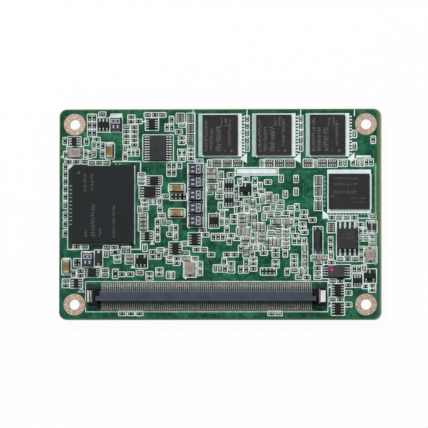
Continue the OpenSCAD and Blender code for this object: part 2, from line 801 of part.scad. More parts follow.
module boot_memory_leads() {
    color([0.8, 0.8, 0.8])
        on_top([boot_spot])
            leaded_leads(boot_size, boot_h);
}

module monitor_chip() {
    color([0.18, 0.18, 0.2])
        on_top([monitor_spot])
            leaded_body(monitor_size, thin_h);
}

module monitor_chip_leads() {
    color([0.8, 0.8, 0.8])
        on_top([monitor_spot])
            leaded_leads(monitor_size, thin_h);
}

module translator_chips() {
    color([0.15, 0.15, 0.17])
        for (c = translators)
            on_top([c[0]])
                leaded_body(c[1], thin_h);
}

module translator_chip_leads() {
    color([0.8, 0.8, 0.8])
        for (c = translators)
            on_top([c[0]])
                leaded_leads(c[1], thin_h);
}

module small_chips() {
    color([0.14, 0.14, 0.15])
        for (c = small_chip_list)
            on_top([c[0]])
                leaded_body(c[1], small_h);
}

module small_chip_leads() {
    rise = standoff + small_h / 2;
    color([0.8, 0.8, 0.8])
        for (c = small_chip_list)
            on_top([c[0]])
                for (side = [0, 1], k = c[2][side])
                    rotate(180 * side)
                        translate([0, k * c[1][3], 0])
                            formed_lead(c[1][0] / 2, c[1][2] / 2, rise, small_lead_w, lead_t);
}

// Power switches.
module power_switches() {
    color([0.12, 0.12, 0.13])
        for (c = switch_list)
            on_top([c[0]])
                leaded_body(switch_size(c[1]), switch_h);
}

module power_switch_leads() {
    color([0.8, 0.8, 0.8])
        for (c = switch_list)
            on_top([c[0]])
                leaded_leads(switch_size(c[1]), switch_h);
}

// Tantalum capacitors: a moulded block with a strap folded under each end.
module tantalum_capacitors() {
    color([0.2, 0.2, 0.25])
        on_top(tantalum_spots)
            moulded(tantalum_l - 2 * strap_t, tantalum_w, tantalum_h - strap_t, strap_t,
                tantalum_h * 0.3, tantalum_h * 0.25);
}

module tantalum_straps() {
    color([0.8, 0.8, 0.8])
        on_top(tantalum_spots)
            for (side = [0, 180])
                rotate(side)
                    slab([
                        [tantalum_l / 2, 0], [tantalum_l / 2, tantalum_h * 0.55],
                        [tantalum_l / 2 - strap_t, tantalum_h * 0.55], [tantalum_l / 2 - strap_t, strap_t],
                        [tantalum_l / 2 - strap_foot, strap_t], [tantalum_l / 2 - strap_foot, 0]
                    ], strap_w);
}

// Ceramic capacitors, from the large ones to the smallest.
module large_capacitors() {
    color([0.5, 0.36, 0.24])
        on_top(large_spots)
            chip_body(large_l, large_w, large_h, large_end);
}

module large_capacitor_ends() {
    color([0.85, 0.85, 0.85])
        on_top(large_spots)
            chip_ends(large_l, large_w, large_h, large_end);
}

module medium_capacitors() {
    color([0.6, 0.5, 0.4]) {
        on_top(broad_spots)
            chip_body(broad_l, broad_w, broad_w, medium_end);
        on_top(medium_spots)
            chip_body(medium_l, medium_w, medium_w, medium_end);
    }
}

module medium_capacitor_ends() {
    color([0.8, 0.8, 0.8]) {
        on_top(broad_spots)
            chip_ends(broad_l, broad_w, broad_w, medium_end);
        on_top(medium_spots)
            chip_ends(medium_l, medium_w, medium_w, medium_end);
    }
}

module small_capacitors() {
    color([0.62, 0.56, 0.48])
        on_top(small_cap_spots)
            chip_body(small_l, small_w, small_cap_h, small_end);
}

module small_capacitor_ends() {
    color([0.8, 0.8, 0.8])
        on_top(small_cap_spots)
            chip_ends(small_l, small_w, small_cap_h, small_end);
}

// Chip resistors: dark bodies.
module chip_resistors() {
    color([0.08, 0.08, 0.09]) {
        on_top(resistor_spots)
            chip_body(small_l, small_w, resistor_h, small_end);
        on_top(medium_resistor_spots)
            chip_body(medium_l, medium_w, resistor_h, medium_end);
    }
}

module chip_resistor_ends() {
    color([0.82, 0.82, 0.82]) {
        on_top(resistor_spots)
            chip_ends(small_l, small_w, resistor_h, small_end);
        on_top(medium_resistor_spots)
            chip_ends(medium_l, medium_w, resistor_h, medium_end);
    }
}

// Resistor arrays: four resistors in one body, with an end on each side of each.
module resistor_arrays() {
    color([0.3, 0.26, 0.24])
        on_top(array_spots)
            block(array_l, array_w - 2 * small_end, resistor_h);
}

module resistor_array_ends() {
    color([0.75, 0.73, 0.7])
        on_top(array_spots)
            for (side = [-1, 1], i = [0:3])
                translate([(i - 1.5) * array_l / 4, side * (array_w - small_end) / 2, 0])
                    block(array_l / 6.5, small_end, resistor_h);
}

// Diodes: moulded bodies with one lead at each end.
module diodes() {
    color([0.1, 0.1, 0.11])
        for (c = diode_list)
            on_top([c[0]])
                leaded_body(c[1], small_h);
}

module diode_leads() {
    color([0.8, 0.8, 0.8])
        for (c = diode_list)
            on_top([c[0]])
                for (side = [0, 180])
                    rotate(side)
                        formed_lead(c[1][0] / 2, c[1][2] / 2, standoff + small_h / 2, c[1][1] * 0.45, lead_t);
}

// Crystals: a ceramic base and a metal lid with round corners.
module crystal_bases() {
    color([0.35, 0.32, 0.28])
        on_top(crystal_spots)
            block(crystal_l, crystal_w, crystal_base_h);
}

module crystal_lids() {
    color([0.68, 0.64, 0.6])
        on_top(crystal_spots)
            translate([0, 0, crystal_base_h])
                linear_extrude(height = crystal_lid_h)
                    rounded(crystal_l - 2 * lid_ledge, crystal_w - 2 * lid_ledge, lid_r);
}

// Watch crystal: a long moulded body with pointed ends and two leads at each.
module watch_crystal() {
    nose = watch_w * 0.35;
    color([0.16, 0.17, 0.18])
        on_top([watch_spot])
            intersection() {
                translate([0, 0, standoff])
                    linear_extrude(height = watch_h)
                        polygon([
                            [-watch_l / 2, -watch_w / 2 + nose], [-watch_l / 2 + nose, -watch_w / 2],
                            [watch_l / 2 - nose, -watch_w / 2], [watch_l / 2, -watch_w / 2 + nose],
                            [watch_l / 2, watch_w / 2 - nose], [watch_l / 2 - nose, watch_w / 2],
                            [-watch_l / 2 + nose, watch_w / 2], [-watch_l / 2, watch_w / 2 - nose]
                        ]);
                rotate(90)
                    slab([
                        [-watch_w / 2, 0], [watch_w / 2, 0], [watch_w / 2, standoff + watch_h - draft * 2],
                        [watch_w / 2 - draft * 2, standoff + watch_h],
                        [draft * 2 - watch_w / 2, standoff + watch_h],
                        [-watch_w / 2, standoff + watch_h - draft * 2]
                    ], watch_l);
            }
}

module watch_crystal_leads() {
    color([0.8, 0.8, 0.8])
        on_top([watch_spot])
            for (side = [0, 180], y = [-1, 1])
                rotate(side)
                    translate([0, y * watch_w / 2 * 0.62, 0])
                        translate([watch_l / 2 - watch_w * 0.35, 0, 0])
                            block(watch_w * 0.7, watch_w * 0.3, standoff);
}

// Processor: bare die on a base with balls round its rim.
module processor_base() {
    color([0.1, 0.3, 0.2])
        on_bottom([processor_spot])
            block(processor_w, processor_l, processor_t, ball_h);
}

module processor_die() {
    color([0.3, 0.32, 0.36])
        on_bottom([processor_spot])
            block(die_w, die_l, die_t, ball_h + processor_t);
}

module processor_balls() {
    color([0.7, 0.7, 0.7])
        on_bottom([processor_spot])
            ball_rim(processor_w, processor_l, processor_ball_pitch);
}

// Power inductors: pressed blocks with a terminal folded under two sides.
module power_inductors() {
    side = inductor_w - 2 * inductor_tab_t;
    color([0.25, 0.25, 0.26])
        on_bottom(inductor_spots)
            translate([0, 0, inductor_tab_t])
                linear_extrude(height = inductor_h - inductor_tab_t)
                    rounded(side, side, inductor_w * 0.08);
}

module inductor_terminals() {
    half = inductor_w / 2;
    color([0.8, 0.8, 0.8])
        on_bottom(inductor_spots)
            for (side = [0, 180])
                rotate(side)
                    slab([
                        [half, 0], [half, inductor_h * 0.5], [half - inductor_tab_t, inductor_h * 0.5],
                        [half - inductor_tab_t, inductor_tab_t], [half * 0.5, inductor_tab_t], [half * 0.5, 0]
                    ], inductor_tab_w);
}

// Controllers in flat leadless packages with pads round the edge.
module pad_ring(w, count) {
    for (turn = [0:90:270], i = [0:count - 1])
        rotate(turn)
            translate([w / 2 - small_end, (i - (count - 1) / 2) * (w - 2 * pad_margin) / count, 0])
                block(2 * small_end, (w - 2 * pad_margin) / count / 2, plating_t);
}

module power_controller() {
    color([0.14, 0.14, 0.15])
        on_bottom([power_spot])
            block(power_w, power_w, controller_h, plating_t);
}

module power_controller_pads() {
    color([0.8, 0.8, 0.8])
        on_bottom([power_spot])
            pad_ring(power_w, 8);
}

module network_controller() {
    color([0.14, 0.14, 0.15])
        on_bottom([network_spot])
            block(network_w, network_w, controller_h, plating_t);
}

module network_controller_pads() {
    color([0.8, 0.8, 0.8])
        on_bottom([network_spot])
            pad_ring(network_w, 14);
}

module lower_capacitors() {
    color([0.62, 0.56, 0.48])
        on_bottom(lower_cap_spots)
            chip_body(medium_l, medium_w, medium_w, medium_end);
}

module lower_capacitor_ends() {
    color([0.8, 0.8, 0.8])
        on_bottom(lower_cap_spots)
            chip_ends(medium_l, medium_w, medium_w, medium_end);
}

circuit_board();
hole_rings();
connector_housing();
contact_row_upper();
contact_row_lower();
connector_hold_downs();
flash_drive_package();
flash_drive_carrier();
flash_drive_balls();
memory_chip_1();
memory_chip_2();
memory_chip_3();
memory_chip_4();
memory_carriers();
memory_balls();
buffer_chip();
buffer_chip_leads();
boot_memory();
boot_memory_leads();
monitor_chip();
monitor_chip_leads();
translator_chips();
translator_chip_leads();
small_chips();
small_chip_leads();
power_switches();
power_switch_leads();
tantalum_capacitors();
tantalum_straps();
large_capacitors();
large_capacitor_ends();
medium_capacitors();
medium_capacitor_ends();
small_capacitors();
small_capacitor_ends();
chip_resistors();
chip_resistor_ends();
resistor_arrays();
resistor_array_ends();
diodes();
diode_leads();
crystal_bases();
crystal_lids();
watch_crystal();
watch_crystal_leads();
processor_base();
processor_die();
processor_balls();
lower_memory_chips();
power_inductors();
inductor_terminals();
power_controller();
power_controller_pads();
network_controller();
network_controller_pads();
lower_capacitors();
lower_capacitor_ends();
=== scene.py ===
import json
import math
import random

import bmesh
import bpy
from mathutils import Matrix, Vector


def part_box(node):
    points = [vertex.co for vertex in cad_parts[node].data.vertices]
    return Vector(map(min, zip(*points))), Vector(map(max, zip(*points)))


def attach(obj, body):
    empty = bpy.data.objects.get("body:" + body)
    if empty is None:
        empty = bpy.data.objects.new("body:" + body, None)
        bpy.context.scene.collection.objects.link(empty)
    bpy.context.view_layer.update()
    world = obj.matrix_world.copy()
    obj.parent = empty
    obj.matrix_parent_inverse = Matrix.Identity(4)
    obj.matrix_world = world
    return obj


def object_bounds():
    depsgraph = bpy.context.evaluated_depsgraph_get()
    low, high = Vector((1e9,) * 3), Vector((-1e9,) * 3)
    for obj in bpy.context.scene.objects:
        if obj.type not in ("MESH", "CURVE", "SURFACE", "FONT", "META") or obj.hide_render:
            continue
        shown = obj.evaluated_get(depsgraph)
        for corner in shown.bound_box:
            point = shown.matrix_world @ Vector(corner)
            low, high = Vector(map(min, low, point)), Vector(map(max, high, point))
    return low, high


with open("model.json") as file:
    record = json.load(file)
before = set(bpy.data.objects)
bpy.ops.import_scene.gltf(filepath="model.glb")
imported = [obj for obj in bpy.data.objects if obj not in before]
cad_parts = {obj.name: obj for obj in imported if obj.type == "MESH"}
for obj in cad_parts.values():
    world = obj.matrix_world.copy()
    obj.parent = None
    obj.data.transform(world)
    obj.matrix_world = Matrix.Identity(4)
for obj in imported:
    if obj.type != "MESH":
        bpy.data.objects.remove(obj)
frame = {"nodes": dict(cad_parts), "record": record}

cad_low, cad_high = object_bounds()
nodes = frame["nodes"]
random.seed(7)

# Lengths below are in millimetres in the board's own plan; MM turns them into metres.
MM = 0.001
board_low, board_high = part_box("circuit_board")
TOP = board_high.z
BOTTOM = board_low.z

# Levels of the thin layers on the board, from the mask upwards.
CLEAR_H = 0.004
TRACK_H = 0.008
PRINT_H = 0.016
LEVEL_STEP = 0.0015
LAND_H = 0.06
MARK_H = 0.004

# The connector's middle, the half width of its ridge inside the edges that carry a painted highlight, where
# the hold-downs bend, and the heights over the board at which its finishes and its painted shade change.
housing_low, housing_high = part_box("connector_housing")
CONNECTOR_X = (housing_low.x + housing_high.x) / 2 / MM
RIDGE_Y = (housing_low.y + housing_high.y) / 2 / MM
RIDGE_EDGE = 1.04
HOLD_DOWN_BEND = 29.8
TAIL_TOP = 0.5
SHOULDER_TOP = 0.8
END_BLOCKS = 1.3
RIDGE_FACE = 3.9

# Painted light: the colours of many parts, the ink and the metal are dimmer on the left of the board and
# brighter on the right;
# how far out from the middle that goes, and the share of light at each end.
FALLOFF_REACH = 34.0
LIGHT_FALLOFF = (0.76, 1.3)
METAL_FALLOFF = (0.8, 1.22)
PRINT_FALLOFF = (0.94, 1.12)
LID_FALLOFF = (0.93, 1.28)


# Colours
def rgb(red, green, blue):
    """A screen colour, 0 to 255, as linear light."""
    def linear(c):
        c = c / 255
        return c / 12.92 if c <= 0.04045 else ((c + 0.055) / 1.055) ** 2.4
    return (linear(red), linear(green), linear(blue), 1)


def shade(colour, factor):
    return tuple(min(1, c * factor) for c in colour[:3]) + (1,)


class Graph:
    """A material's nodes, made one call at a time."""

    def __init__(self, name):
        self.material = bpy.data.materials.new(name)
        self.material.use_nodes = True
        self.tree = self.material.node_tree
        self.shader = self.tree.nodes["Principled BSDF"]
        self.place = self.add("ShaderNodeTexCoord").outputs["Object"]

    def put(self, socket, value):
        """Links a socket to another node's output, or sets its value."""
        if isinstance(value, bpy.types.NodeSocket):
            self.tree.links.new(value, socket)
        else:
            socket.default_value = value

    def add(self, kind, inputs=None, **settings):
        node = self.tree.nodes.new(kind)
        for key, value in settings.items():
            setattr(node, key, value)
        for key, value in (inputs or {}).items():
            self.put(node.inputs[key], value)
        return node

    def noise(self, scale, detail=3, vector=None):
        values = {"Scale": scale, "Detail": detail, "Vector": vector or self.place}
        return self.add("ShaderNodeTexNoise", values).outputs["Fac"]

    def ramp(self, factor, stops):
        node = self.add("ShaderNodeValToRGB", {"Fac": factor})
        points = node.color_ramp.elements
        while len(points) < len(stops):
            points.new(0.5)
        for point, (position, colour) in zip(points, stops):
            point.position = position
            point.color = colour
        return node.outputs["Color"]

    def spread(self, factor, low, high):
        values = {"Value": factor, "From Min": 0.3, "From Max": 0.7, "To Min": low, "To Max": high}
        return self.add("ShaderNodeMapRange", values).outputs["Result"]

    def blend(self, factor, first, second):
        return self.add("ShaderNodeMix", {0: factor, 6: first, 7: second}, data_type="RGBA").outputs[2]

    def maths(self, operation, first, second=0.0):
        return self.add("ShaderNodeMath", {0: first, 1: second}, operation=operation).outputs[0]

    def along(self, axis):
        return self.add("ShaderNodeSeparateXYZ", {0: self.place}).outputs[axis]

    def beyond(self, axis, start, fade):
        """0 up to a place on an axis, in millimetres, and 1 a little past it."""
        low = start * MM
        values = {"Value": self.along(axis), "From Min": low, "From Max": low + fade * MM}
        return self.add("ShaderNodeMapRange", values).outputs["Result"]

    def above(self, height, fade):
        """0 below a height over the board, in millimetres, and 1 above it."""
        return self.beyond("Z", TOP / MM + height, fade)

    def flat(self):
        """1 on faces that look up or down, and 0 on upright ones."""
        normal = self.add("ShaderNodeNewGeometry").outputs["Normal"]
        up = self.add("ShaderNodeSeparateXYZ", {0: normal}).outputs["Z"]
        return self.maths("GREATER_THAN", self.maths("ABSOLUTE", up), 0.7)

    def across(self, factor, stops, left, right):
        """A ramp under painted light, darker or lighter towards each end of the board."""
        ends = [self.ramp(factor, [(at, shade(colour, f)) for at, colour in stops]) for f in (left, right)]
        return self.blend(self.beyond("X", -FALLOFF_REACH, 2 * FALLOFF_REACH), *ends)

    def relief(self, height, strength, depth):
        values = {"Height": height, "Strength": strength, "Distance": depth * MM}
        self.wire("Normal", self.add("ShaderNodeBump", values).outputs["Normal"])

    def wire(self, name, value):
        self.put(self.shader.inputs[name], value)

    def surface(self, pattern, low, high, strength, depth):
        """Gloss and relief from one pattern; gives back the finished material."""
        self.wire("Roughness", self.spread(pattern, low, high))
        self.relief(pattern, strength, depth)
        return self.material


def finish(name, colour, rough, metal, vary, patch, grain, relief, falloff=None, **constant):
    """A surface with slow patches of tone, a fine grain in its gloss, and a fine relief; falloff adds painted
    light across the board.
    """
    g = Graph(name)
    slow = g.noise(1 / (patch * MM), 2)
    fine = g.noise(1 / (grain * MM), 4)
    tones = [(0.3, shade(colour, 1 - vary)), (0.7, shade(colour, 1 + vary))]
    g.wire("Base Color", g.across(slow, tones, *falloff) if falloff else g.ramp(slow, tones))
    g.wire("Metallic", metal)
    for key, value in constant.items():
        g.wire(key.replace("_", " "), value)
    return g.surface(fine, max(0.05, rough - 0.1), min(1, rough + 0.1), relief, 0.02)


# Materials of the record's slots
def mask_material():
    """Green solder mask over copper areas and tracks, with the glass laminate on the cut edges."""
    g = Graph("solder_mask")
    pour = g.noise(1 / (4.5 * MM), 2)
    patches = g.noise(1 / (1.1 * MM), 3)
    mixed = g.maths("ADD", g.maths("MULTIPLY", pour, 0.55), g.maths("MULTIPLY", patches, 0.45))
    base = g.ramp(mixed, [(0.38, rgb(3, 54, 38)), (0.5, rgb(13, 89, 62)), (0.62, rgb(48, 126, 92))])
    weave = g.add("ShaderNodeTexVoronoi", {"Scale": 1 / (0.55 * MM), "Vector": g.place}, distance="MANHATTAN")
    lines = g.spread(weave.outputs["Distance"], 0.0, 0.35)
    face = g.blend(lines, base, rgb(9, 62, 46))
    bands = g.maths("SINE", g.maths("MULTIPLY", g.along("Z"), 2 * math.pi / (0.25 * MM)))
    edge = g.ramp(g.spread(bands, 0.3, 0.7), [(0.3, rgb(70, 72, 38)), (0.7, rgb(112, 104, 62))])
    g.wire("Base Color", g.blend(g.flat(), edge, face))
    fine = g.noise(1 / (0.3 * MM), 3)
    g.wire("Roughness", g.spread(fine, 0.52, 0.66))
    g.wire("Specular IOR Level", 0.16)
    g.relief(pour, 0.1, 0.05)
    return g.material


def connector_material():
    """Dark moulded plastic in painted light: painted shade below the ridge's top, deepest as a painted shadow
    on the end blocks, and a painted highlight along the ridge's edges.
    """
    g = Graph("connector_plastic")
    slow = g.noise(1 / (3.0 * MM), 3)
    streak = g.add("ShaderNodeMapping", {"Vector": g.place, "Scale": (60, 900, 900)}).outputs["Vector"]
    flow = g.noise(1.0, 3, streak)
    tone = g.ramp(slow, [(0.3, rgb(62, 71, 82)), (0.7, rgb(74, 84, 96))])
    face = g.blend(g.spread(flow, 0.0, 0.35), tone, rgb(52, 59, 68))
    foot = g.ramp(slow, [(0.3, rgb(36, 46, 54)), (0.7, rgb(48, 60, 70))])
    # Painted shadow: the end blocks, below the ridge, are near black.
    foot = g.blend(g.above(END_BLOCKS, 0.3), foot, rgb(14, 15, 18))
    # Painted highlight along both edges of the ridge's top.
    side = g.maths("ABSOLUTE", g.maths("SUBTRACT", g.along("Y"), RIDGE_Y * MM))
    painted_light = g.maths("GREATER_THAN", side, RIDGE_EDGE * MM)
    face = g.blend(painted_light, face, rgb(98, 105, 111))
    # Painted shade: everything below the ridge's top face takes the darker foot tone.
    g.wire("Base Color", g.blend(g.above(RIDGE_FACE, 0.15), foot, face))
    g.wire("Specular IOR Level", 0.14)
    return g.surface(flow, 0.5, 0.66, 0.08, 0.03)


def contact_material():
    """Formed strip: bright tin on the solder tails, with duller plating and painted shade where it runs up
    into the housing.
    """
    g = Graph("contact_metal")
    slow = g.noise(1 / (0.8 * MM), 2)
    fine = g.noise(1 / (0.1 * MM), 3)
    tail = g.ramp(slow, [(0.3, rgb(156, 156, 149)), (0.7, rgb(210, 209, 202))])
    # Duller plating and painted shade, darker in two steps up towards the ridge.
    shoulder = g.blend(g.above(TAIL_TOP, 0.15), tail, rgb(150, 153, 152))
    g.wire("Base Color", g.blend(g.above(SHOULDER_TOP, 0.3), shoulder, rgb(84, 86, 88)))
    g.wire("Metallic", 0.6)
    return g.surface(fine, 0.3, 0.45, 0.1, 0.02)


def sheet_material():
    """Bright sheet metal, drawn along Y, with painted shade where it bends in, deeper on the left; the left
    one has painted streaks of highlight and shade.
    """
    g = Graph("bright_metal")
    drawn = g.add("ShaderNodeMapping", {"Vector": g.place, "Scale": (2600, 160, 600)}).outputs["Vector"]
    streak = g.noise(1.0, 2, drawn)
    # Painted streaks of highlight and shade on the left hold-down.
    painted_light = g.ramp(streak, [(0.42, rgb(84, 81, 86)), (0.62, rgb(232, 231, 229))])
    plain = g.ramp(streak, [(0.3, rgb(206, 206, 208)), (0.6, rgb(246, 246, 245))])
    right = g.beyond("X", 0.0, 1.0)
    face = g.blend(right, painted_light, plain)
    # Painted shade where the metal bends in, near black on the left hold-down.
    bend_shade = g.blend(right, rgb(40, 39, 43), rgb(132, 127, 132))
    out = g.maths("ABSOLUTE", g.maths("SUBTRACT", g.along("X"), CONNECTOR_X * MM))
    bent = g.maths("LESS_THAN", out, HOLD_DOWN_BEND * MM)
    g.wire("Base Color", g.blend(bent, face, bend_shade))
    g.wire("Metallic", 0.6)
    return g.surface(streak, 0.28, 0.42, 0.12, 0.03)


def copper_material():
    """Plated rings: pinkish copper in cream and brown patches, with painted shade on the wall inside the
    hole.
    """
    g = Graph("copper")
    fine = g.noise(1 / (0.4 * MM), 3)
    slow = g.noise(1 / (1.3 * MM), 2)
    tone = g.ramp(slow, [(0.32, rgb(184, 156, 136)), (0.5, rgb(192, 174, 158)), (0.66, rgb(204, 192, 172))])
    face = g.blend(g.spread(fine, 0.0, 0.7), tone, rgb(166, 134, 114))
    # Painted shade on the upright wall of the hole.
    g.wire("Base Color", g.blend(g.flat(), rgb(44, 34, 32), face))
    g.wire("Metallic", 0.2)
    return g.surface(fine, 0.34, 0.55, 0.3, 0.03)


def ceramic_material(name, dark, light, patch):
    """Fired ceramic: its tone changes from one part to the next, and painted light dims it towards the left
    of the board.
    """
    g = Graph(name)
    slow = g.noise(1 / (patch * MM), 0)
    fine = g.noise(1 / (0.1 * MM), 3)
    tone = g.across(slow, [(0.35, dark), (0.65, light)], *LIGHT_FALLOFF)
    g.wire("Base Color", g.blend(g.spread(fine, 0.0, 0.25), tone, shade(dark, 0.8)))
    return g.surface(fine, 0.4, 0.6, 0.15, 0.02)


def moulding(name, colour, vary, patch):
    """Dull black plastic of the packages."""
    return finish(name, colour, 0.72, 0.0, vary, patch, 0.09, 0.3, Specular_IOR_Level=0.25)


def film(name, colour, rough=0.6, vary=0.2, patch=2.0, grain=0.2, relief=0.1):
    """A thin matt layer of ink or mask."""
    return finish(name, colour, rough, 0.0, vary, patch, grain, relief, Specular_IOR_Level=0.2)


# Solder, tinned ends and crystal lids take painted light that dims them towards the left of the board.
slots = {
    "solder_mask": mask_material(),
    "copper": copper_material(),
    "connector_plastic": connector_material(),
    "contact_metal": contact_material(),
    "bright_metal": sheet_material(),
    "flash_moulding": moulding("flash_moulding", rgb(27, 31, 34), 0.12, 6.0),
    "memory_moulding": moulding("memory_moulding", rgb(40, 40, 42), 0.14, 4.0),
    "package_base": finish("package_base", rgb(36, 58, 44), 0.5, 0.0, 0.2, 1.5, 0.15, 0.2),
    "solder": finish("solder", rgb(176, 182, 179), 0.42, 0.6, 0.28, 1.1, 0.08, 0.25, METAL_FALLOFF),
    "chip_moulding": moulding("chip_moulding", rgb(50, 51, 55), 0.2, 2.2),
    "tinned_leads": finish("tinned_leads", rgb(192, 198, 194), 0.4, 0.5, 0.14, 0.7, 0.08, 0.2),
    "tantalum_moulding": moulding("tantalum_moulding", rgb(55, 62, 71), 0.16, 2.0),
    "brown_ceramic": ceramic_material("brown_ceramic", rgb(116, 88, 46), rgb(168, 127, 66), 1.1),
    "tinned_ends": finish("tinned_ends", rgb(171, 178, 171), 0.45, 0.4, 0.34, 1.2, 0.07, 0.3, METAL_FALLOFF),
    "tan_ceramic": ceramic_material("tan_ceramic", rgb(94, 95, 85), rgb(162, 161, 147), 1.9),
    "resistor_coat": finish(
        "resistor_coat", rgb(9, 11, 11), 0.6, 0.0, 0.35, 1.2, 0.08, 0.2, Specular_IOR_Level=0.25
    ),
    "array_coat": finish(
        "array_coat", rgb(86, 84, 78), 0.6, 0.0, 0.25, 1.3, 0.08, 0.2, Specular_IOR_Level=0.3
    ),
    "dark_ceramic": finish("dark_ceramic", rgb(136, 130, 119), 0.6, 0.0, 0.2, 1.2, 0.1, 0.2),
    "lid_metal": finish("lid_metal", rgb(146, 140, 129), 0.42, 0.4, 0.2, 1.1, 0.08, 0.3, LID_FALLOFF),
    "silicon": finish("silicon", rgb(78, 82, 94), 0.12, 0.3, 0.1, 3.0, 0.2, 0.02),
    "inductor_powder": finish("inductor_powder", rgb(62, 61, 60), 0.7, 0.0, 0.2, 0.5, 0.12, 0.6),
}

# The smallest packages are of a blacker plastic, one is greyer, and some leads are duller.
black = moulding("black_moulding", rgb(26, 27, 29), 0.2, 1.4)
grey = moulding("grey_moulding", rgb(62, 64, 68), 0.2, 2.0)
dull = finish("dull_leads", rgb(174, 181, 177), 0.45, 0.5, 0.16, 0.7, 0.08, 0.2)
own_finish = {
    "small_chips": black, "power_switches": black, "translator_chips": black, "monitor_chip": grey,
    "small_chip_leads": dull, "power_switch_leads": dull, "diode_leads": dull, "monitor_chip_leads": dull,
}


# Materials of the layers and marks that only this script adds
def print_material(name, dark, light, thin):
    """White legend ink with a faint green cast where it lies thin, and painted light that dims it towards the
    left of the board.
    """
    g = Graph(name)
    slow = g.noise(1 / (1.8 * MM), 3)
    fine = g.noise(1 / (0.12 * MM), 3)
    tone = g.across(slow, [(0.34, dark), (0.62, light)], *PRINT_FALLOFF)
    g.wire("Base Color", g.blend(g.spread(fine, 0.0, 0.3), tone, thin))
    return g.surface(fine, 0.6, 0.8, 0.2, 0.02)


def rim_material(name, low, high):
    """Thin mask over the glass: greener on the lower part of the board, more olive on the upper."""
    g = Graph(name)
    slow = g.noise(1 / (1.2 * MM), 2)
    fine = g.noise(1 / (0.15 * MM), 3)
    tone = g.blend(g.beyond("Y", -14.0, 10.0), low, high)
    g.wire("Base Color", g.blend(g.spread(slow, 0.0, 0.3), tone, shade(low, 0.8)))
    g.wire("Specular IOR Level", 0.2)
    return g.surface(fine, 0.55, 0.75, 0.2, 0.02)


ink = print_material("legend_ink", rgb(180, 206, 193), rgb(234, 243, 239), rgb(172, 202, 188))
field_ink = print_material("field_ink", rgb(214, 226, 226), rgb(234, 242, 244), rgb(196, 214, 212))
greyer_ink = film("greyer_ink", rgb(182, 200, 196), 0.7, 0.1, 1.4, 0.12, 0.2)
dim_ink = film("dim_ink", rgb(128, 166, 142), 0.7, 0.15, 1.4, 0.12, 0.2)
bare_laminate = finish("bare_laminate", rgb(92, 113, 101), 0.6, 0.0, 0.15, 1.2, 0.15, 0.2)
dark_laminate = finish("dark_laminate", rgb(42, 56, 48), 0.6, 0.0, 0.2, 1.2, 0.15, 0.2)
routed_edge = rim_material("routed_edge", rgb(112, 134, 116), rgb(140, 148, 118))
thin_mask = rim_material("thin_mask", rgb(40, 88, 60), rgb(78, 108, 66))
edge_mask = film("edge_mask", rgb(44, 88, 62), 0.6, 0.15, 1.4, 0.15, 0.2)
broad_solder = finish("broad_solder", rgb(212, 210, 204), 0.55, 0.15, 0.12, 0.8, 0.1, 0.2)
dull_solder = finish("dull_solder", rgb(142, 146, 139), 0.45, 0.5, 0.2, 0.6, 0.08, 0.2)
dark_mask = film("dark_mask", rgb(20, 48, 38), 0.6, 0.3, 1.6)
via_mask = film("via_mask", rgb(50, 134, 96))
track_mask = film("track_mask", rgb(22, 112, 70))
etched = finish("etched_mark", rgb(76, 73, 69), 0.6, 0.0, 0.25, 0.8, 0.08, 0.2)
faint_mark = finish("faint_mark", rgb(60, 59, 58), 0.6, 0.0, 0.2, 0.8, 0.08, 0.2)
pale_mark = finish("pale_mark", rgb(172, 179, 194), 0.5, 0.0, 0.1, 0.8, 0.08, 0.2)
seam_metal = finish("seam_metal", rgb(160, 154, 143), 0.4, 0.4, 0.3, 0.7, 0.08, 0.2)
lid_stroke = finish("lid_stroke", rgb(116, 105, 97), 0.5, 0.3, 0.2, 0.6, 0.08, 0.2)
ink_glint = finish("ink_glint", rgb(214, 172, 200), 0.3, 0.0, 0.1, 0.6, 0.1, 0.2)
ink_dot = finish("ink_dot", rgb(124, 42, 84), 0.25, 0.0, 0.2, 0.6, 0.1, 0.2)
dimple = finish("dimple", rgb(26, 26, 28), 0.5, 0.0, 0.2, 0.4, 0.06, 0.2)
pale_pit = finish("pale_pit", rgb(220, 204, 188), 0.45, 0.1, 0.15, 0.5, 0.08, 0.2)
copper_pit = finish("copper_pit", rgb(164, 106, 86), 0.45, 0.2, 0.2, 0.5, 0.08, 0.2)


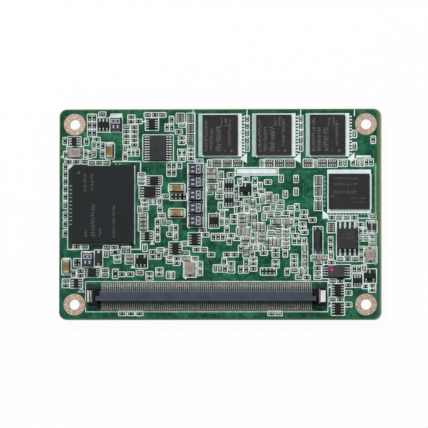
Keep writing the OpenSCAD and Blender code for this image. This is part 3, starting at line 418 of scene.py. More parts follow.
# Mesh pieces
class Builder:
    """Collects closed shapes, in millimetres from the board's face, and makes one piece of them."""

    def __init__(self):
        self.verts = []
        self.faces = []

    def add(self, verts, faces):
        first = len(self.verts)
        self.verts += verts
        self.faces += [[first + i for i in face] for face in faces]

    def prism(self, outline, z0, z1, shrink=None):
        """A plate between two heights; shrink gives the outline of its top if that is smaller."""
        n = len(outline)
        upper = shrink or outline
        verts = [(x, y, z0) for x, y in outline] + [(x, y, z1) for x, y in upper]
        sides = [[i, (i + 1) % n, n + (i + 1) % n, n + i] for i in range(n)]
        self.add(verts, sides + [list(range(n, 2 * n)), list(range(n - 1, -1, -1))])

    def ring(self, outer, inner, z0, z1):
        """A plate with an opening; both outlines have the same number of points."""
        n = len(outer)
        loops = [(outer, z0), (outer, z1), (inner, z1), (inner, z0)]
        verts = [(x, y, z) for loop, z in loops for x, y in loop]
        faces = []
        for i in range(n):
            j = (i + 1) % n
            for k in range(4):
                here, after = k * n, (k + 1) % 4 * n
                faces.append([here + i, here + j, after + j, after + i])
        self.add(verts, faces)

    def piece(self, name, material, below=False):
        """Makes the object: on the connector side, or mirrored on to the processor side."""
        mesh = bpy.data.meshes.new(name)
        level = (lambda z: BOTTOM - z * MM) if below else (lambda z: TOP + z * MM)
        mesh.from_pydata([(x * MM, y * MM, level(z)) for x, y, z in self.verts], [], self.faces)
        bm = bmesh.new()
        bm.from_mesh(mesh)
        bmesh.ops.recalc_face_normals(bm, faces=bm.faces)
        bm.to_mesh(mesh)
        bm.free()
        mesh.materials.append(material)
        obj = bpy.data.objects.new(name, mesh)
        bpy.context.scene.collection.objects.link(obj)
        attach(obj, "root")
        return obj


def rounded_box(x0, y0, x1, y1, r, steps=3):
    """Outline of a rectangle with round corners."""
    r = min(r, (x1 - x0) / 2, (y1 - y0) / 2)
    points = []
    corners = ((x1 - r, y1 - r), (x0 + r, y1 - r), (x0 + r, y0 + r), (x1 - r, y0 + r))
    for quarter, (cx, cy) in enumerate(corners):
        for i in range(steps + 1):
            a = math.radians(90 * quarter + 90 * i / steps)
            points.append((cx + r * math.cos(a), cy + r * math.sin(a)))
    return points


def disc(x, y, r, sides=16):
    angles = [2 * math.pi * i / sides for i in range(sides)]
    return [(x + r * math.cos(a), y + r * math.sin(a)) for a in angles]


# Where the CAD pieces are
def islands(name):
    """Boxes of the separate solids in a node, in millimetres, as [x0, y0, z0, x1, y1, z1]."""
    bm = bmesh.new()
    bm.from_mesh(nodes[name].data)
    bmesh.ops.remove_doubles(bm, verts=bm.verts, dist=1e-7)
    seen = set()
    boxes = []
    for start in bm.verts:
        if start.index in seen:
            continue
        seen.add(start.index)
        stack = [start]
        group = []
        while stack:
            v = stack.pop()
            group.append(v.co / MM)
            for e in v.link_edges:
                other = e.other_vert(v)
                if other.index not in seen:
                    seen.add(other.index)
                    stack.append(other)
        lows = [min(p[k] for p in group) for k in range(3)]
        boxes.append(lows + [max(p[k] for p in group) for k in range(3)])
    bm.free()
    return boxes


def middle(box):
    return (box[0] + box[3]) / 2, (box[1] + box[4]) / 2


def touching(a, b, gap=0.002):
    return all(a[k] - gap <= b[k + 3] and b[k] - gap <= a[k + 3] for k in range(3))


class Part:
    """A body with its metal ends: its own box, theirs, and the box of all."""

    def __init__(self, body, ends):
        self.body = body
        self.ends = ends
        every = [body] + ends
        lows = [min(b[k] for b in every) for k in range(3)]
        self.box = lows + [max(b[k] for b in every) for k in range(3, 6)]
        e = ends[0]
        beyond_x = max(e[0] - body[3], body[0] - e[3])
        beyond_y = max(e[1] - body[4], body[1] - e[4])
        self.along_x = beyond_x > beyond_y
        self.below = body[5] < TOP / MM - 0.5


def parts(body_node, end_node):
    ends = islands(end_node)
    return [Part(body, [e for e in ends if touching(body, e)]) for body in islands(body_node)]


small_parts = parts("small_capacitors", "small_capacitor_ends")
resistors = parts("chip_resistors", "chip_resistor_ends")
medium_parts = parts("medium_capacitors", "medium_capacitor_ends")
large_parts = parts("large_capacitors", "large_capacitor_ends")
lower_parts = parts("lower_capacitors", "lower_capacitor_ends")
arrays = parts("resistor_arrays", "resistor_array_ends")
tantalums = parts("tantalum_capacitors", "tantalum_straps")
diodes = parts("diodes", "diode_leads")
small_chips = parts("small_chips", "small_chip_leads")
switches = parts("power_switches", "power_switch_leads")
translators = parts("translator_chips", "translator_chip_leads")
buffer_chip = parts("buffer_chip", "buffer_chip_leads")
boot_memory = parts("boot_memory", "boot_memory_leads")
monitor = parts("monitor_chip", "monitor_chip_leads")
watch = parts("watch_crystal", "watch_crystal_leads")
inductors = parts("power_inductors", "inductor_terminals")
crystals = [Part(base, [lid]) for base, lid in zip(islands("crystal_bases"), islands("crystal_lids"))]

# Each kind of part with the gap to the middle of its printed frame: past its ends, and beside it.
framed = [
    (small_parts, 0.46, 0.36),
    (resistors, 0.46, 0.36),
    (medium_parts, 0.47, 0.36),
    (large_parts, 0.6, 0.42),
    (lower_parts, 0.47, 0.36),
    (arrays, 0.5, 0.35),
    (tantalums, 0.32, 0.27),
    (diodes, 0.35, 0.34),
    (small_chips, 0.38, 0.28),
    (switches, 0.35, 0.35),
    (translators, 0.4, 0.3),
    (buffer_chip, 0.55, 0.25),
    (boot_memory, 0.6, 0.3),
    (monitor, 0.45, 0.35),
    (watch, 0.55, 0.4),
    (crystals, 0.5, 0.6),
    (inductors, 0.5, 0.35),
]
FRAME_LINE = 0.23
FRAME_R = 0.28
LARGE_FRAME_R = 0.6

# Parts that stand close together in one frame: the boxes round their middles, in plan.
SHARED = [(-13.2, 3.0, -8.9, 6.0), (10.4, -16.3, 14.9, -13.7), (-38.4, -13.8, -36.0, -11.2)]


def frame_box(part, past, beside):
    """The rectangle of a part's printed frame, through the middle of its line."""
    x0, y0, _, x1, y1, _ = part.box
    gx, gy = (past, beside) if part.along_x else (beside, past)
    return x0 - gx, y0 - gy, x1 + gx, y1 + gy


def grown(box, by):
    return box[0] - by, box[1] - by, box[2] + by, box[3] + by


def inside(part, box):
    x, y = middle(part.body)
    return box[0] < x < box[2] and box[1] < y < box[3]


# Printed frames, and the darker mask inside them where the copper is cut back, which also stands for painted
# shade round the parts
def make_frames():
    for below in (False, True):
        frames = Builder()
        clear = Builder()
        level = 0
        shared = {}
        for group, past, beside in framed:
            for part in group:
                if part.below != below:
                    continue
                box = frame_box(part, past, beside)
                home = next((s for s in SHARED if inside(part, s)), None)
                if home and not below:
                    shared.setdefault(home, []).append(box)
                    continue
                r = LARGE_FRAME_R if group is large_parts else FRAME_R
                outline_box(frames, box, FRAME_LINE, PRINT_H + LEVEL_STEP * (level % 9), r)
                # Darker mask inside the frame: cut-back copper, and painted shade round the part.
                clear.prism(rounded_box(*box, FRAME_R), 0, CLEAR_H + LEVEL_STEP * (level % 7) / 4)
                level += 1
        for boxes in shared.values():
            lows = [min(b[k] for b in boxes) for k in (0, 1)]
            highs = [max(b[k] for b in boxes) for k in (2, 3)]
            outline_box(frames, lows + highs, FRAME_LINE, PRINT_H)
            clear.prism(rounded_box(*lows, *highs, FRAME_R), 0, CLEAR_H)
        side = "lower" if below else "upper"
        frames.piece("printed_frames_" + side, ink, below=below)
        clear.piece("cleared_mask_and_shade_" + side, dark_mask, below)


# Solder
def fillet(builder, end, along_x, sign, reach, rise, widen, steps=4):
    """A hollow slope of solder from the outer face of a metal end down to its pad."""
    x0, y0, _, x1, y1, _ = end
    face = (x1 if sign > 0 else x0) if along_x else (y1 if sign > 0 else y0)
    low, high = (y0, y1) if along_x else (x0, x1)
    centre, half = (low + high) / 2, (high - low) / 2
    verts = []
    for i in range(steps + 1):
        t = i / steps
        out = face + sign * reach * t
        w = half + widen * math.sin(math.pi * t / 2) - half * 0.25 * t ** 4
        z = max(rise * (1 - t) ** 2, 0.012)
        for across, height in ((centre - w, 0), (centre - w, z), (centre + w, z), (centre + w, 0)):
            verts.append((out, across, height) if along_x else (across, out, height))
    faces = [[0, 1, 2, 3], [4 * steps + k for k in (3, 2, 1, 0)]]
    for i in range(steps):
        faces += [[4 * i + k, 4 * i + (k + 1) % 4, 4 * i + 4 + (k + 1) % 4, 4 * i + 4 + k] for k in range(4)]
    builder.add(verts, faces)


def fillets(builder, group, reach, share, widen):
    for part in group:
        for end in part.ends:
            k = 0 if part.along_x else 1
            sign = 1 if end[k] + end[k + 3] > part.body[k] + part.body[k + 3] else -1
            fillet(builder, end, part.along_x, sign, reach, (end[5] - end[2]) * share, widen)


def lands(builder, group, past, beside, under):
    """Flat pads of solder under the feet of leads."""
    for part in group:
        for end in part.ends:
            k = 0 if part.along_x else 1
            outward = end[k] + end[k + 3] > part.body[k] + part.body[k + 3]
            box = [end[0], end[1], end[3], end[4]]
            box[1 - k] -= beside
            box[3 - k] += beside
            near, far = (k, k + 2) if outward else (k + 2, k)
            sign = 1 if outward else -1
            box[far] += sign * past
            box[near] = box[far] - sign * under
            outline = rounded_box(*box, 0.08, 2)
            top = rounded_box(*grown(box, -0.05), 0.06, 2)
            builder.prism(outline, 0, LAND_H, top)


# Slopes of solder, as (group, reach, share of the end's height, widening), and whether they lie below
solder = slots["solder"]
SLOPES = [
    ("solder_chip_parts", solder, False, [
        (small_parts, 0.24, 0.75, 0.03), (resistors, 0.24, 0.85, 0.03), (medium_parts, 0.32, 0.6, 0.03),
    ]),
    ("solder_large_parts", broad_solder, False, [
        (large_parts, 0.48, 0.6, 0.06), (tantalums, 0.26, 0.8, 0.05),
    ]),
    ("solder_arrays", solder, False, [(arrays, 0.22, 0.8, 0.02)]),
    ("solder_lower_parts", solder, True, [(lower_parts, 0.32, 0.6, 0.03), (inductors, 0.4, 0.25, 0.1)]),
]

# Pads under feet, as (group, how far they show past the foot, beside it, and how long they are)
FEET = [
    (small_chips, 0.14, 0.05, 0.6), (translators, 0.16, 0.04, 0.7), (buffer_chip, 0.2, 0.01, 0.8),
    (boot_memory, 0.45, 0.06, 1.2), (monitor, 0.3, 0.04, 1.0), (switches, 0.2, 0.06, 0.45),
    (diodes, 0.22, 0.08, 0.6), (watch, 0.15, 0.1, 0.9),
]


def make_solder():
    for name, material, below, rows in SLOPES:
        slopes = Builder()
        for row in rows:
            fillets(slopes, *row)
        slopes.piece(name, material, below)
    feet = Builder()
    for row in FEET:
        lands(feet, *row)
    feet.piece("solder_feet", solder)


# Crystal pads: four corners of solder round each base; those of the crystal at the left edge are duller
CRYSTAL_PAD_OUT = 0.34
CRYSTAL_PAD_IN = 0.95


def make_crystal_pads():
    bright = Builder()
    left = Builder()
    for part in crystals:
        x0, y0, _, x1, y1, _ = part.body
        pads = left if x1 < -30 else bright
        deep = (y1 - y0) / 2 - 0.02 if x1 < 0 and y1 < 0 else 1.0
        for sx, x in ((-1, x0), (1, x1)):
            for sy, y in ((-1, y0), (1, y1)):
                xs = sorted((x + sx * CRYSTAL_PAD_OUT, x - sx * CRYSTAL_PAD_IN))
                ys = sorted((y + sy * CRYSTAL_PAD_OUT, y - sy * deep))
                outer = (xs[0], ys[0], xs[1], ys[1])
                shoulder = rounded_box(*grown(outer, -0.18), 0.15)
                crown = rounded_box(*grown(outer, -0.32), 0.1)
                pads.prism(rounded_box(*outer, 0.2), 0, 0.02)
                pads.prism(rounded_box(*grown(outer, -0.03), 0.18), 0.02, 0.12, shoulder)
                pads.prism(shoulder, 0.12, 0.36, crown)
    bright.piece("solder_crystals", broad_solder)
    left.piece("solder_crystal_left", solder)


def make_crystal_seams():
    """The welded rim of each lid, bright where the roller ran, and faint strokes inside it."""
    seams = Builder()
    strokes = Builder()
    for lid in islands("crystal_lids"):
        cx, cy = middle(lid)
        z = lid[5] - TOP / MM
        plan = (lid[0], lid[1], lid[3], lid[4])
        inner = rounded_box(*grown(plan, -0.3), 0.3)
        seams.ring(rounded_box(*grown(plan, -0.05), 0.35), inner, z, z + MARK_H)
        for i in range(5):
            y = cy + (i - 2) * 0.28
            strokes.prism(rounded_box(cx - 0.7, y - 0.06, cx + 0.7, y + 0.06, 0.05), z, z + MARK_H)
    seams.piece("crystal_seams", seam_metal)
    strokes.piece("marks_crystals", lid_stroke)


# Connector pads: one under each solder tail, on a dark ground, with a bare strip along the row
def make_connector_pads():
    pads = Builder()
    strips = Builder()
    gaps = Builder()
    for row in ("contact_row_upper", "contact_row_lower"):
        low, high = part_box(row)
        left, right = low.x / MM, high.x / MM
        sign = 1 if high.y / MM > RIDGE_Y + 2 else -1
        outer = (high if sign > 0 else low).y / MM
        for x0, y0, _, x1, y1, _ in islands(row):
            tail = y1 if sign > 0 else y0
            ys = sorted((tail + sign * 0.2, tail - sign * 1.0))
            box = (x0 - 0.03, ys[0], x1 + 0.03, ys[1])
            pads.prism(rounded_box(*box, 0.05, 1), 0, LAND_H * 0.7, rounded_box(*grown(box, -0.03), 0.04, 1))
        ys = sorted((outer + sign * 0.4, outer + sign * 0.05))
        strips.prism(rounded_box(left - 0.3, ys[0], right + 0.3, ys[1], 0.1), 0, TRACK_H + 5 * LEVEL_STEP)
        ys = sorted((outer + sign * 0.1, outer - sign * 1.3))
        gaps.prism(rounded_box(left - 0.2, ys[0], right + 0.2, ys[1], 0.1), 0, TRACK_H + 4 * LEVEL_STEP)
    pads.piece("solder_contact_pads", dull_solder)
    strips.piece("bare_strips_connector", bare_laminate)
    gaps.piece("bare_gaps_connector", dark_laminate)


# The board's margin, where the mask thins out towards the routed edge, and patches of darker mask round the
# flash drive
def make_margin():
    x0, y0, x1, y1 = board_low.x / MM, board_low.y / MM, board_high.x / MM, board_high.y / MM
    corner = 2.0
    loops = [
        rounded_box(x0, y0, x1, y1, corner, 8),
        rounded_box(x0 + 0.1, y0 + 0.22, x1 - 0.45, y1 - 0.12, corner - 0.15, 8),
        rounded_box(x0 + 0.3, y0 + 0.5, x1 - 1.15, y1 - 0.34, corner - 0.35, 8),
    ]
    rim = Builder()
    rim.ring(loops[0], loops[1], 0, CLEAR_H)
    rim.piece("routed_rim", routed_edge)
    thin = Builder()
    thin.ring(loops[1], loops[2], 0, CLEAR_H)
    thin.piece("thin_mask_rim", thin_mask)
    dark_patches = Builder()
    dark_patches.prism(rounded_box(-39.6, -8.9, -22.5, 13.0, 0.2), 0, CLEAR_H)
    dark_patches.prism(rounded_box(-10.0, -4.2, -8.5, 12.2, 0.2), 0, CLEAR_H)
    dark_patches.piece("dark_patches_flash", dark_mask)


# Printed lines and fields, in the board's plan
def bar(builder, x0, y0, x1, y1, z, r=0.1):
    builder.prism(rounded_box(min(x0, x1), min(y0, y1), max(x0, x1), max(y0, y1), r, 2), 0, z)


def line(builder, x0, y0, x1, y1, w, z):
    """A straight printed line along X or Y."""
    bar(builder, min(x0, x1) - w / 2, min(y0, y1) - w / 2, max(x0, x1) + w / 2, max(y0, y1) + w / 2, z, w / 3)


def outline_box(builder, box, w, z, r=0.3):
    inner = rounded_box(*grown(box, -w / 2), max(0.02, r - w / 2))
    builder.ring(rounded_box(*grown(box, w / 2), r), inner, 0, z)


LINE_H = PRINT_H + 10 * LEVEL_STEP
FIELD_H = PRINT_H + 11 * LEVEL_STEP
SPOT_H = PRINT_H + 12 * LEVEL_STEP


def memory_frame(builder, greyer_side, box, upright):
    """White print round a memory chip: broad strips along the ball rows, thin lines across; the strip on the
    left takes the greyer, greener ink.
    """
    x0, y0, _, x1, y1, _ = box
    broad, thin, gap = 1.05, 0.3, 0.12
    if upright:
        bar(greyer_side, x0 - broad - gap, y0 - 0.35, x0 - gap, y1 + 0.45, FIELD_H)
        bar(builder, x1 + gap, y0 - 0.35, x1 + broad + gap, y1 + 0.45, FIELD_H)
        bar(builder, x0 - gap, y1 + 0.1, x1 + gap, y1 + 0.1 + thin, LINE_H)
        bar(builder, x0 - gap, y0 - 0.5, x1 + gap, y0 + 0.05, LINE_H)
    else:
        bar(builder, x0 - 0.45, y1 + gap, x1 + 0.45, y1 + broad + gap, FIELD_H)
        bar(builder, x0 - 0.45, y0 - broad - gap, x1 + 0.45, y0 - gap, FIELD_H)
        bar(builder, x0 - 0.1 - thin, y0 - gap, x0 - 0.1, y1 + gap, LINE_H)
        bar(builder, x1 + 0.1, y0 - gap, x1 + 0.3 + thin, y1 + gap, LINE_H)


def ticks(builder, x, y, count, pitch, vertical, length=0.35, w=0.16):
    """A row of short strokes that marks the rows of balls."""
    for i in range(count):
        step = (i - (count - 1) / 2) * pitch
        px, py, a, b = (x, y + step, length, w) if vertical else (x + step, y, w, length)
        bar(builder, px - a / 2, py - b / 2, px + a / 2, py + b / 2, LINE_H, 0.03)


# Printed lines as (start, end, width, level), blocks as boxes, and pointers as (x, y, size)
LINES = [
    (36.0, -1.05, 39.0, -1.05, 0.22, LINE_H), (-39.8, -9.1, -36.0, -9.1, 0.3, FIELD_H),
    (-22.3, 12.6, -22.3, -7.6, 0.3, LINE_H), (-28.0, 13.85, -20.75, 13.85, 0.3, LINE_H),
    (-20.75, 13.85, -20.75, 11.2, 0.3, FIELD_H), (-20.75, -4.6, -20.75, -9.1, 0.3, LINE_H),
    (-23.2, -9.1, -20.75, -9.1, 0.3, FIELD_H), (-7.05, 26.3, -7.05, 27.2, 0.25, LINE_H),
    (-6.6, 26.3, -6.6, 13.6, 0.3, LINE_H), (-3.65, 13.2, -3.65, -3.4, 0.35, LINE_H),
]
BLOCKS = [(35.4, 14.7, 39.3, 15.3), (-28.7, 25.3, -25.6, 26.4), (1.0, 1.0, 2.3, 1.4)]
POINTERS = [
    (-17.7, -7.4, 0.7), (-22.8, -13.6, 0.6), (28.6, -18.9, 0.5), (28.6, -23.8, 0.5),
    (-41.2, 15.2, 0.5), (-19.7, 24.4, 0.5), (-0.95, 0.5, 0.35),
]


def make_print():
    fields = Builder()
    faint = Builder()
    for k in (1, 2, 3):
        box = islands("memory_chip_%d" % k)[0]
        memory_frame(fields, faint, box, True)
        right = box[3]
        ticks(fields, right + 1.55, middle(box)[1], 13, 0.8, True, 0.6, 0.32)
        line(fields, right + 2.5, 25.7, right + 2.5, 27.2, 0.25, LINE_H)
        fields.prism([(right + 0.65, 14.4), (right + 2.5, 13.35), (right + 2.5, 16.1)], 0, SPOT_H)
    turned = islands("memory_chip_4")[0]
    memory_frame(fields, faint, turned, False)
    ticks(fields, middle(turned)[0], turned[1] - 1.5, 13, 0.8, False)
    fields.prism([(26.7, 1.0), (28.15, -0.1), (28.15, -1.05), (26.7, -1.2)], 0, SPOT_H)
    fields.piece("printed_memory_frames", field_ink)
    rules = Builder()
    outline_box(rules, (-35.1, -25.4, 28.1, -17.5), 0.2, LINE_H)
    line(faint, -39.8, 11.6, -39.8, -8.9, 0.28, LINE_H)
    for rule in LINES:
        line(rules, *rule)
    for block in BLOCKS:
        bar(rules, *block, LINE_H)
    rules.prism([(-39.9, 13.05), (-39.7, 11.6), (-38.2, 13.05)], 0, SPOT_H)
    rules.prism(disc(-9.0, -16.5, 0.35), 0, SPOT_H)
    for x, y, size in POINTERS:
        rules.prism([(x - size, y - size * 0.7), (x + size, y - size * 0.7), (x, y + size * 0.7)], 0, SPOT_H)
    wedge = [(-37.25, -20.3), (-35.4, -20.3), (-36.0, -19.2)]
    rules.ring(wedge, [(-36.8, -20.1), (-35.7, -20.1), (-36.05, -19.5)], 0, SPOT_H)
    rules.piece("printed_lines", ink)
    faint.piece("printed_memory_strips", greyer_ink)

    dim = Builder()
    ticks(dim, -39.0, 2.45, 11, 1.0, True, 0.7, 0.25)
    ticks(dim, turned[0] - 1.1, middle(turned)[1], 8, 1.05, True, 0.35, 0.65)
    line(dim, 40.5, 13.0, 40.5, -13.0, 0.42, LINE_H)
    line(dim, -36.0, -7.7, -23.4, -7.7, 0.2, LINE_H)
    bar(dim, -27.5, 13.0, -26.9, 13.3, LINE_H)
    bar(dim, -26.5, 13.0, -25.9, 13.3, LINE_H)
    dim.piece("printed_dim_lines", dim_ink)

    label = Builder()
    outline_box(label, (3.95, 10.25, 15.15, 12.15), 0.3, LINE_H, 0.2)
    bar(label, 4.3, 10.6, 14.8, 11.8, LINE_H, 0.15)
    label.piece("printed_label_field", field_ink)


# Unfitted places: two bare pads in a printed frame
EMPTY = [
    (5.6, 1.45, True), (6.95, 1.45, True), (6.95, 3.4, False), (8.55, 0.55, False), (12.2, 1.4, False),
    (9.95, 1.7, True), (13.8, 1.85, True), (0.6, 0.1, True), (0.45, -2.0, True), (1.75, -2.0, True),
    (-5.1, -13.2, True), (-5.1, -15.0, True), (-5.4, 13.85, False),
]


def make_empty_places():
    frames = Builder()
    pads = Builder()
    for n, (x, y, upright) in enumerate(EMPTY):
        gx, gy = (0.6, 0.95) if upright else (0.95, 0.6)
        box = (x - gx, y - gy, x + gx, y + gy)
        outline_box(frames, box, FRAME_LINE, PRINT_H + LEVEL_STEP * (n % 9), FRAME_R)
        for side in (-0.45, 0.45):
            px, py = (x, y + side) if upright else (x + side, y)
            wx, wy = (0.36, 0.34) if upright else (0.34, 0.36)
            land = (px - wx, py - wy, px + wx, py + wy)
            pads.prism(rounded_box(*land, 0.1), 0, LAND_H, rounded_box(*grown(land, -0.08), 0.08))
    frames.piece("printed_frames_unfitted", ink)
    pads.piece("solder_unfitted_pads", dull_solder)


# Marks on the packages
def lies_on(obj, carrier):
    """Lifts a piece of marks to the top of the package that carries it."""
    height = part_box(carrier)[1].z
    for v in obj.data.vertices:
        v.co.z += height - TOP


def dashes(builder, x, y, rows, pitch, length, upright, w):
    """Rows of short strokes, like worn marking that can't be read."""
    for row in range(rows):
        at = -length / 2
        while at < length / 2 - 0.3:
            run = random.uniform(0.16, 0.42)
            end = min(at + run, length / 2)
            across = (row - (rows - 1) / 2) * pitch
            low = across - w / 2 + random.choice((0, 0, 0.3)) * w
            high = across + w / 2 - random.choice((0, 0, 0.35)) * w
            box = (low, at, high, end) if upright else (at, low, end, high)
            bar(builder, x + box[0], y + box[1], x + box[2], y + box[3], MARK_H, 0.06)
            at = end + random.uniform(0.12, 0.26)


# Rows of marks: place, number of rows, pitch, length and width, from the board's middle or the chip's
FLASH_ROWS = [
    (-34.3, 8.4, 2, 1.9, 4.8, 0.8), (-33.1, -1.5, 1, 1.2, 9.0, 1.1), (-35.0, -4.8, 1, 1.2, 2.0, 0.7),
    (-31.2, -4.6, 1, 1.2, 2.4, 0.8), (-27.7, -1.7, 1, 1.2, 8.6, 0.7),
]
MEMORY_ROWS = [
    (-3.6, 0.0, 1, 1.5, 8.6, 0.9), (-2.2, -1.0, 1, 1.5, 6.4, 0.9), (-0.4, -1.0, 1, 1.5, 6.4, 1.4),
    (1.0, 3.6, 2, 1.1, 2.4, 0.7), (2.5, 0.6, 1, 1.2, 7.0, 0.8),
]
TURNED_ROWS = [(-0.6, 2.6, 2, 1.5, 6.5, 0.6), (-0.9, -0.2, 1, 1.5, 6.0, 0.9), (2.6, -2.4, 2, 1.1, 4.0, 0.4)]
BOOT_ROWS = [(0.0, 0.6, 2, 0.9, 3.4, 0.4)]


def marked(name, carrier, material, centre, table, upright, dots=()):
    """One piece of marks on top of a package: its rows, and round dots as (x, y, radius)."""
    marks = Builder()
    for x, y, rows, pitch, length, w in table:
        dashes(marks, centre[0] + x, centre[1] + y, rows, pitch, length, upright, w)
    for dot in dots:
        marks.prism(disc(*dot), 0, MARK_H)
    lies_on(marks.piece(name, material), carrier)


def make_marks():
    flash = "flash_drive_package"
    marked("marks_flash", flash, faint_mark, (0, 0), FLASH_ROWS, True)
    marked("corner_dot_flash", flash, etched, (0, 0), [], True, [(-36.85, 10.85, 0.35)])
    for k in (1, 2, 3):
        chip = "memory_chip_%d" % k
        box = islands(chip)[0]
        cx, y = middle(box)[0], box[1] + 1.1
        dots = [(cx + 3.0, y, 0.38), (cx + 1.3, y, 0.2)]
        marked("marks_memory_%d" % k, chip, etched, middle(box), MEMORY_ROWS, True, dots)
    box = islands("memory_chip_4")[0]
    dots = [(box[0] + 1.0, box[1] + 3.2, 0.38)]
    marked("marks_memory_4", "memory_chip_4", faint_mark, middle(box), TURNED_ROWS, False, dots)
    box = boot_memory[0].body
    marked("marks_boot_memory", "boot_memory", faint_mark, middle(box), BOOT_ROWS, False)


def make_polarity():
    """A pale box at the positive end of each tantalum capacitor, and two blocks beside it."""
    marks = Builder()
    for part in tantalums:
        cx, cy = middle(part.body)

        def placed(u0, v0, u1, v1):
            return (u0, cy + v0, u1, cy + v1) if part.along_x else (cx + v0, u0, cx + v1, u1)

        end, centre = (part.body[3], cx) if part.along_x else (part.body[4], cy)
        outline_box(marks, placed(end - 1.4, -1.0, end - 0.45, 1.0), 0.22, MARK_H, 0.1)
        bar(marks, *placed(end - 1.08, -0.3, end - 0.77, 0.3), MARK_H, 0.05)
        for v in (-0.75, 0.35):
            bar(marks, *placed(centre - 1.1, v, centre - 0.3, v + 0.4), MARK_H, 0.1)
    lies_on(marks.piece("marks_tantalum", pale_mark), "tantalum_capacitors")


def make_ink_dot():
    """A drop of ink on the monitor chip, domed as it dried."""
    drop = Builder()
    x, y, r = 28.9, -14.25, 0.85
    layers = [(1.0, 0.0), (0.92, 0.03), (0.7, 0.055), (0.35, 0.07)]
    sides = 20
    verts = [(px, py, z) for share, z in layers for px, py in disc(x, y, r * share, sides)]
    faces = [list(range(sides - 1, -1, -1)), [3 * sides + i for i in range(sides)]]
    for low in (0, sides, 2 * sides):
        high = low + sides
        for i in range(sides):
            j = (i + 1) % sides
            faces.append([low + i, low + j, high + j, high + i])
    drop.add(verts, faces)
    lies_on(drop.piece("ink_dot_monitor", ink_dot), "monitor_chip")
    # A pale disc on the drop: a painted glint.
    painted_light = Builder()
    painted_light.prism(disc(x + 0.25, y - 0.3, 0.2, 12), 0.05, 0.075, disc(x + 0.25, y - 0.3, 0.14, 12))
    lies_on(painted_light.piece("ink_dot_painted_glint", ink_glint), "monitor_chip")


def make_dimples():
    """The small round marks at pin one of the moulded chips."""
    spots = Builder()
    for group, inset, r in ((buffer_chip, 0.7, 0.3), (boot_memory, 0.8, 0.35), (translators, 0.45, 0.14)):
        for part in group:
            x0, y0, _, _, y1, z1 = part.body
            x, y = (x0 + inset, y1 - inset) if part.along_x else (x0 + inset, y0 + inset)
            height = z1 - TOP / MM
            spots.prism(disc(x, y, r), height, height + MARK_H)
    spots.piece("pin_one_marks", dimple)


# Rings round the mounting holes: circles of pits, as (radius, number, pit radius), and a lip of mask
PITS = ((1.75, 22, 0.13), (2.4, 30, 0.14))


def make_ring_pits():
    for below in (False, True):
        pits = Builder()
        pale = Builder()
        lips = Builder()
        for box in islands("hole_rings"):
            cx, cy = middle(box)
            z = box[5] - TOP / MM
            for radius, count, r in PITS:
                for i, (x, y) in enumerate(disc(cx, cy, radius, count)):
                    (pits if i % 3 else pale).prism(disc(x, y, r, 8), z, z + MARK_H)
            r = (box[3] - box[0]) / 2
            lips.ring(disc(cx, cy, r + 0.08, 48), disc(cx, cy, r - 0.09, 48), 0, z + MARK_H)
        side = "lower" if below else "upper"
        pits.piece("ring_pits_" + side, copper_pit, below)
        pale.piece("ring_pits_pale_" + side, pale_pit, below)
        lips.piece("mask_lips_" + side, edge_mask, below)


# Tracks and vias under the mask, clear of the holes and of the darker mask round the flash drive
TRACKS = 420
HOLE_ROOM = 3.5
FLASH_ROOM = (-40.0, -9.2, -22.2, 13.3)


def make_tracks():
    tracks = Builder()
    vias = Builder()
    half_w, half_d = 41.0, 26.5
    room = HOLE_ROOM
    holes = [middle(box) for box in islands("hole_rings")]
    for n in range(TRACKS):
        x = round(random.uniform(-half_w, half_w), 1)
        y = round(random.uniform(-half_d, half_d), 1)
        w = random.choice((0.12, 0.12, 0.16, 0.25))
        length = random.uniform(1.5, 6.0)
        z = TRACK_H + LEVEL_STEP * (n % 5) / 3
        level = random.random() < 0.55
        x1 = max(-half_w, min(half_w, x + length)) if level else x
        y1 = y if level else max(-half_d, min(half_d, y + length))
        if any(x - room < hx < x1 + room and y - room < hy < y1 + room for hx, hy in holes):
            continue
        if x1 > FLASH_ROOM[0] and x < FLASH_ROOM[2] and y1 > FLASH_ROOM[1] and y < FLASH_ROOM[3]:
            continue
        bar(tracks, x - w / 2, y - w / 2, x1 + w / 2, y1 + w / 2, z, w / 2)
        for px, py in ((x, y), (x1, y1)):
            vias.prism(disc(px, py, 0.18, 10), 0, TRACK_H + 3 * LEVEL_STEP, disc(px, py, 0.14, 10))
    tracks.piece("tracks_under_mask", track_mask)
    vias.piece("vias_under_mask", via_mask)


# Soft edges on the CAD pieces by their width, and their materials
EDGES = {
    0.02: ("processor_die",),
    0.03: ("power_switches", "resistor_arrays", "power_controller", "network_controller", "tantalum_straps"),
    0.04: (
        "buffer_chip", "monitor_chip", "translator_chips", "small_chips", "medium_capacitors",
        "chip_resistor_ends", "diodes", "processor_base",
    ),
    0.05: (
        "connector_hold_downs", "memory_chip_1", "memory_chip_2", "memory_chip_3", "memory_chip_4",
        "lower_memory_chips", "boot_memory", "large_capacitors", "small_capacitor_ends", "crystal_bases",
        "crystal_lids", "watch_crystal",
    ),
    0.06: ("flash_drive_package", "tantalum_capacitors"),
    0.07: ("medium_capacitor_ends", "lower_capacitor_ends"),
    0.09: ("large_capacitor_ends",),
    0.12: ("power_inductors",),
}


def dress_nodes():
    for row in frame["record"]["subparts"]:
        obj = nodes[row["node"]]
        obj.data.materials.clear()
        obj.data.materials.append(own_finish.get(row["node"], slots[row["material_slot"]]))
    for width, name in ((width, name) for width, group in EDGES.items() for name in group):
        weld = nodes[name].modifiers.new("weld", "WELD")
        weld.merge_threshold = 0.0005 * MM
        bevel = nodes[name].modifiers.new("edge", "BEVEL")
        bevel.width = width * MM
        bevel.segments = 2
        bevel.limit_method = "ANGLE"
        bevel.angle_limit = math.radians(30)


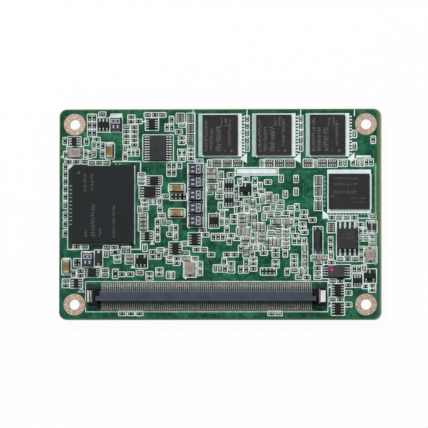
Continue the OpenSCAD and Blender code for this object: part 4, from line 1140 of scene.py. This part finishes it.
# Stage: white floor, soft light, camera
FLOOR_GLOW = 0.95
WORLD_LIGHT = 0.4
KEY_PLACE = (-0.16, 0.42, 0.75)
KEY_SIZE = 0.32
KEY_WATTS = 5.2


def make_floor():
    """A pale floor that the camera and reflections see as white, with a little of the shadow kept."""
    bm = bmesh.new()
    bmesh.ops.create_grid(bm, x_segments=8, y_segments=8, size=2.0)
    mesh = bpy.data.meshes.new("floor")
    bm.to_mesh(mesh)
    bm.free()
    floor = bpy.data.objects.new("floor", mesh)
    floor.location.z = cad_low.z - 0.02 * MM
    bpy.context.scene.collection.objects.link(floor)
    g = Graph("floor")
    g.wire("Base Color", (0.9, 0.9, 0.9, 1))
    g.wire("Roughness", 0.9)
    path = g.add("ShaderNodeLightPath")
    glow = g.add("ShaderNodeEmission", {"Strength": 1.0})
    seen = g.maths("MAXIMUM", path.outputs["Is Camera Ray"], path.outputs["Is Glossy Ray"])
    share = g.maths("MULTIPLY", seen, FLOOR_GLOW)
    mix = g.add("ShaderNodeMixShader", {0: share, 1: g.shader.outputs[0], 2: glow.outputs[0]})
    g.tree.links.new(mix.outputs[0], g.tree.nodes["Material Output"].inputs["Surface"])
    mesh.materials.append(g.material)


def make_world():
    world = bpy.data.worlds.new("studio")
    bpy.context.scene.world = world
    world.use_nodes = True
    back = world.node_tree.nodes["Background"]
    back.inputs["Color"].default_value = (1, 1, 1, 1)
    back.inputs["Strength"].default_value = WORLD_LIGHT


def lamp(name, place, size, watts):
    data = bpy.data.lights.new(name, "AREA")
    data.size = size
    data.energy = watts
    obj = bpy.data.objects.new(name, data)
    obj.location = place
    obj.rotation_mode = "QUATERNION"
    obj.rotation_quaternion = (Vector((0, 0, 0)) - Vector(place)).to_track_quat("-Z", "Y")
    bpy.context.scene.collection.objects.link(obj)


# The camera: lens and sensor, width of the picture at the board's face, the point in its middle,
# and how far it leans to the right and towards the connector, in degrees.
LENS = 400.0
SENSOR = 36.0
FRAME_W = 111.5
LOOK_AT = (-1.58, 0.09)
TILT_RIGHT = 2.8
TILT_DOWN = 2.8


def make_camera():
    data = bpy.data.cameras.new("camera")
    data.lens = LENS
    data.sensor_width = SENSOR
    camera = bpy.data.objects.new("camera", data)
    bpy.context.scene.collection.objects.link(camera)
    target = Vector((LOOK_AT[0] * MM, LOOK_AT[1] * MM, TOP))
    back = Vector((math.tan(math.radians(TILT_RIGHT)), -math.tan(math.radians(TILT_DOWN)), 1)).normalized()
    distance = FRAME_W * MM * LENS / SENSOR
    right = Vector((-0.001, 1, 0)).cross(back).normalized()
    up = back.cross(right)
    turn = Matrix((right, up, back)).transposed().to_4x4()
    camera.matrix_world = Matrix.Translation(target + back * distance) @ turn
    data.clip_start = 0.01
    data.clip_end = 10
    bpy.context.scene.camera = camera


dress_nodes()
make_frames()
make_solder()
make_crystal_pads()
make_crystal_seams()
make_connector_pads()
make_margin()
make_print()
make_empty_places()
make_marks()
make_polarity()
make_ink_dot()
make_dimples()
make_ring_pits()
make_tracks()
make_floor()
make_world()
lamp("key", KEY_PLACE, KEY_SIZE, KEY_WATTS)
make_camera()
bpy.context.scene.view_settings.view_transform = "Standard"
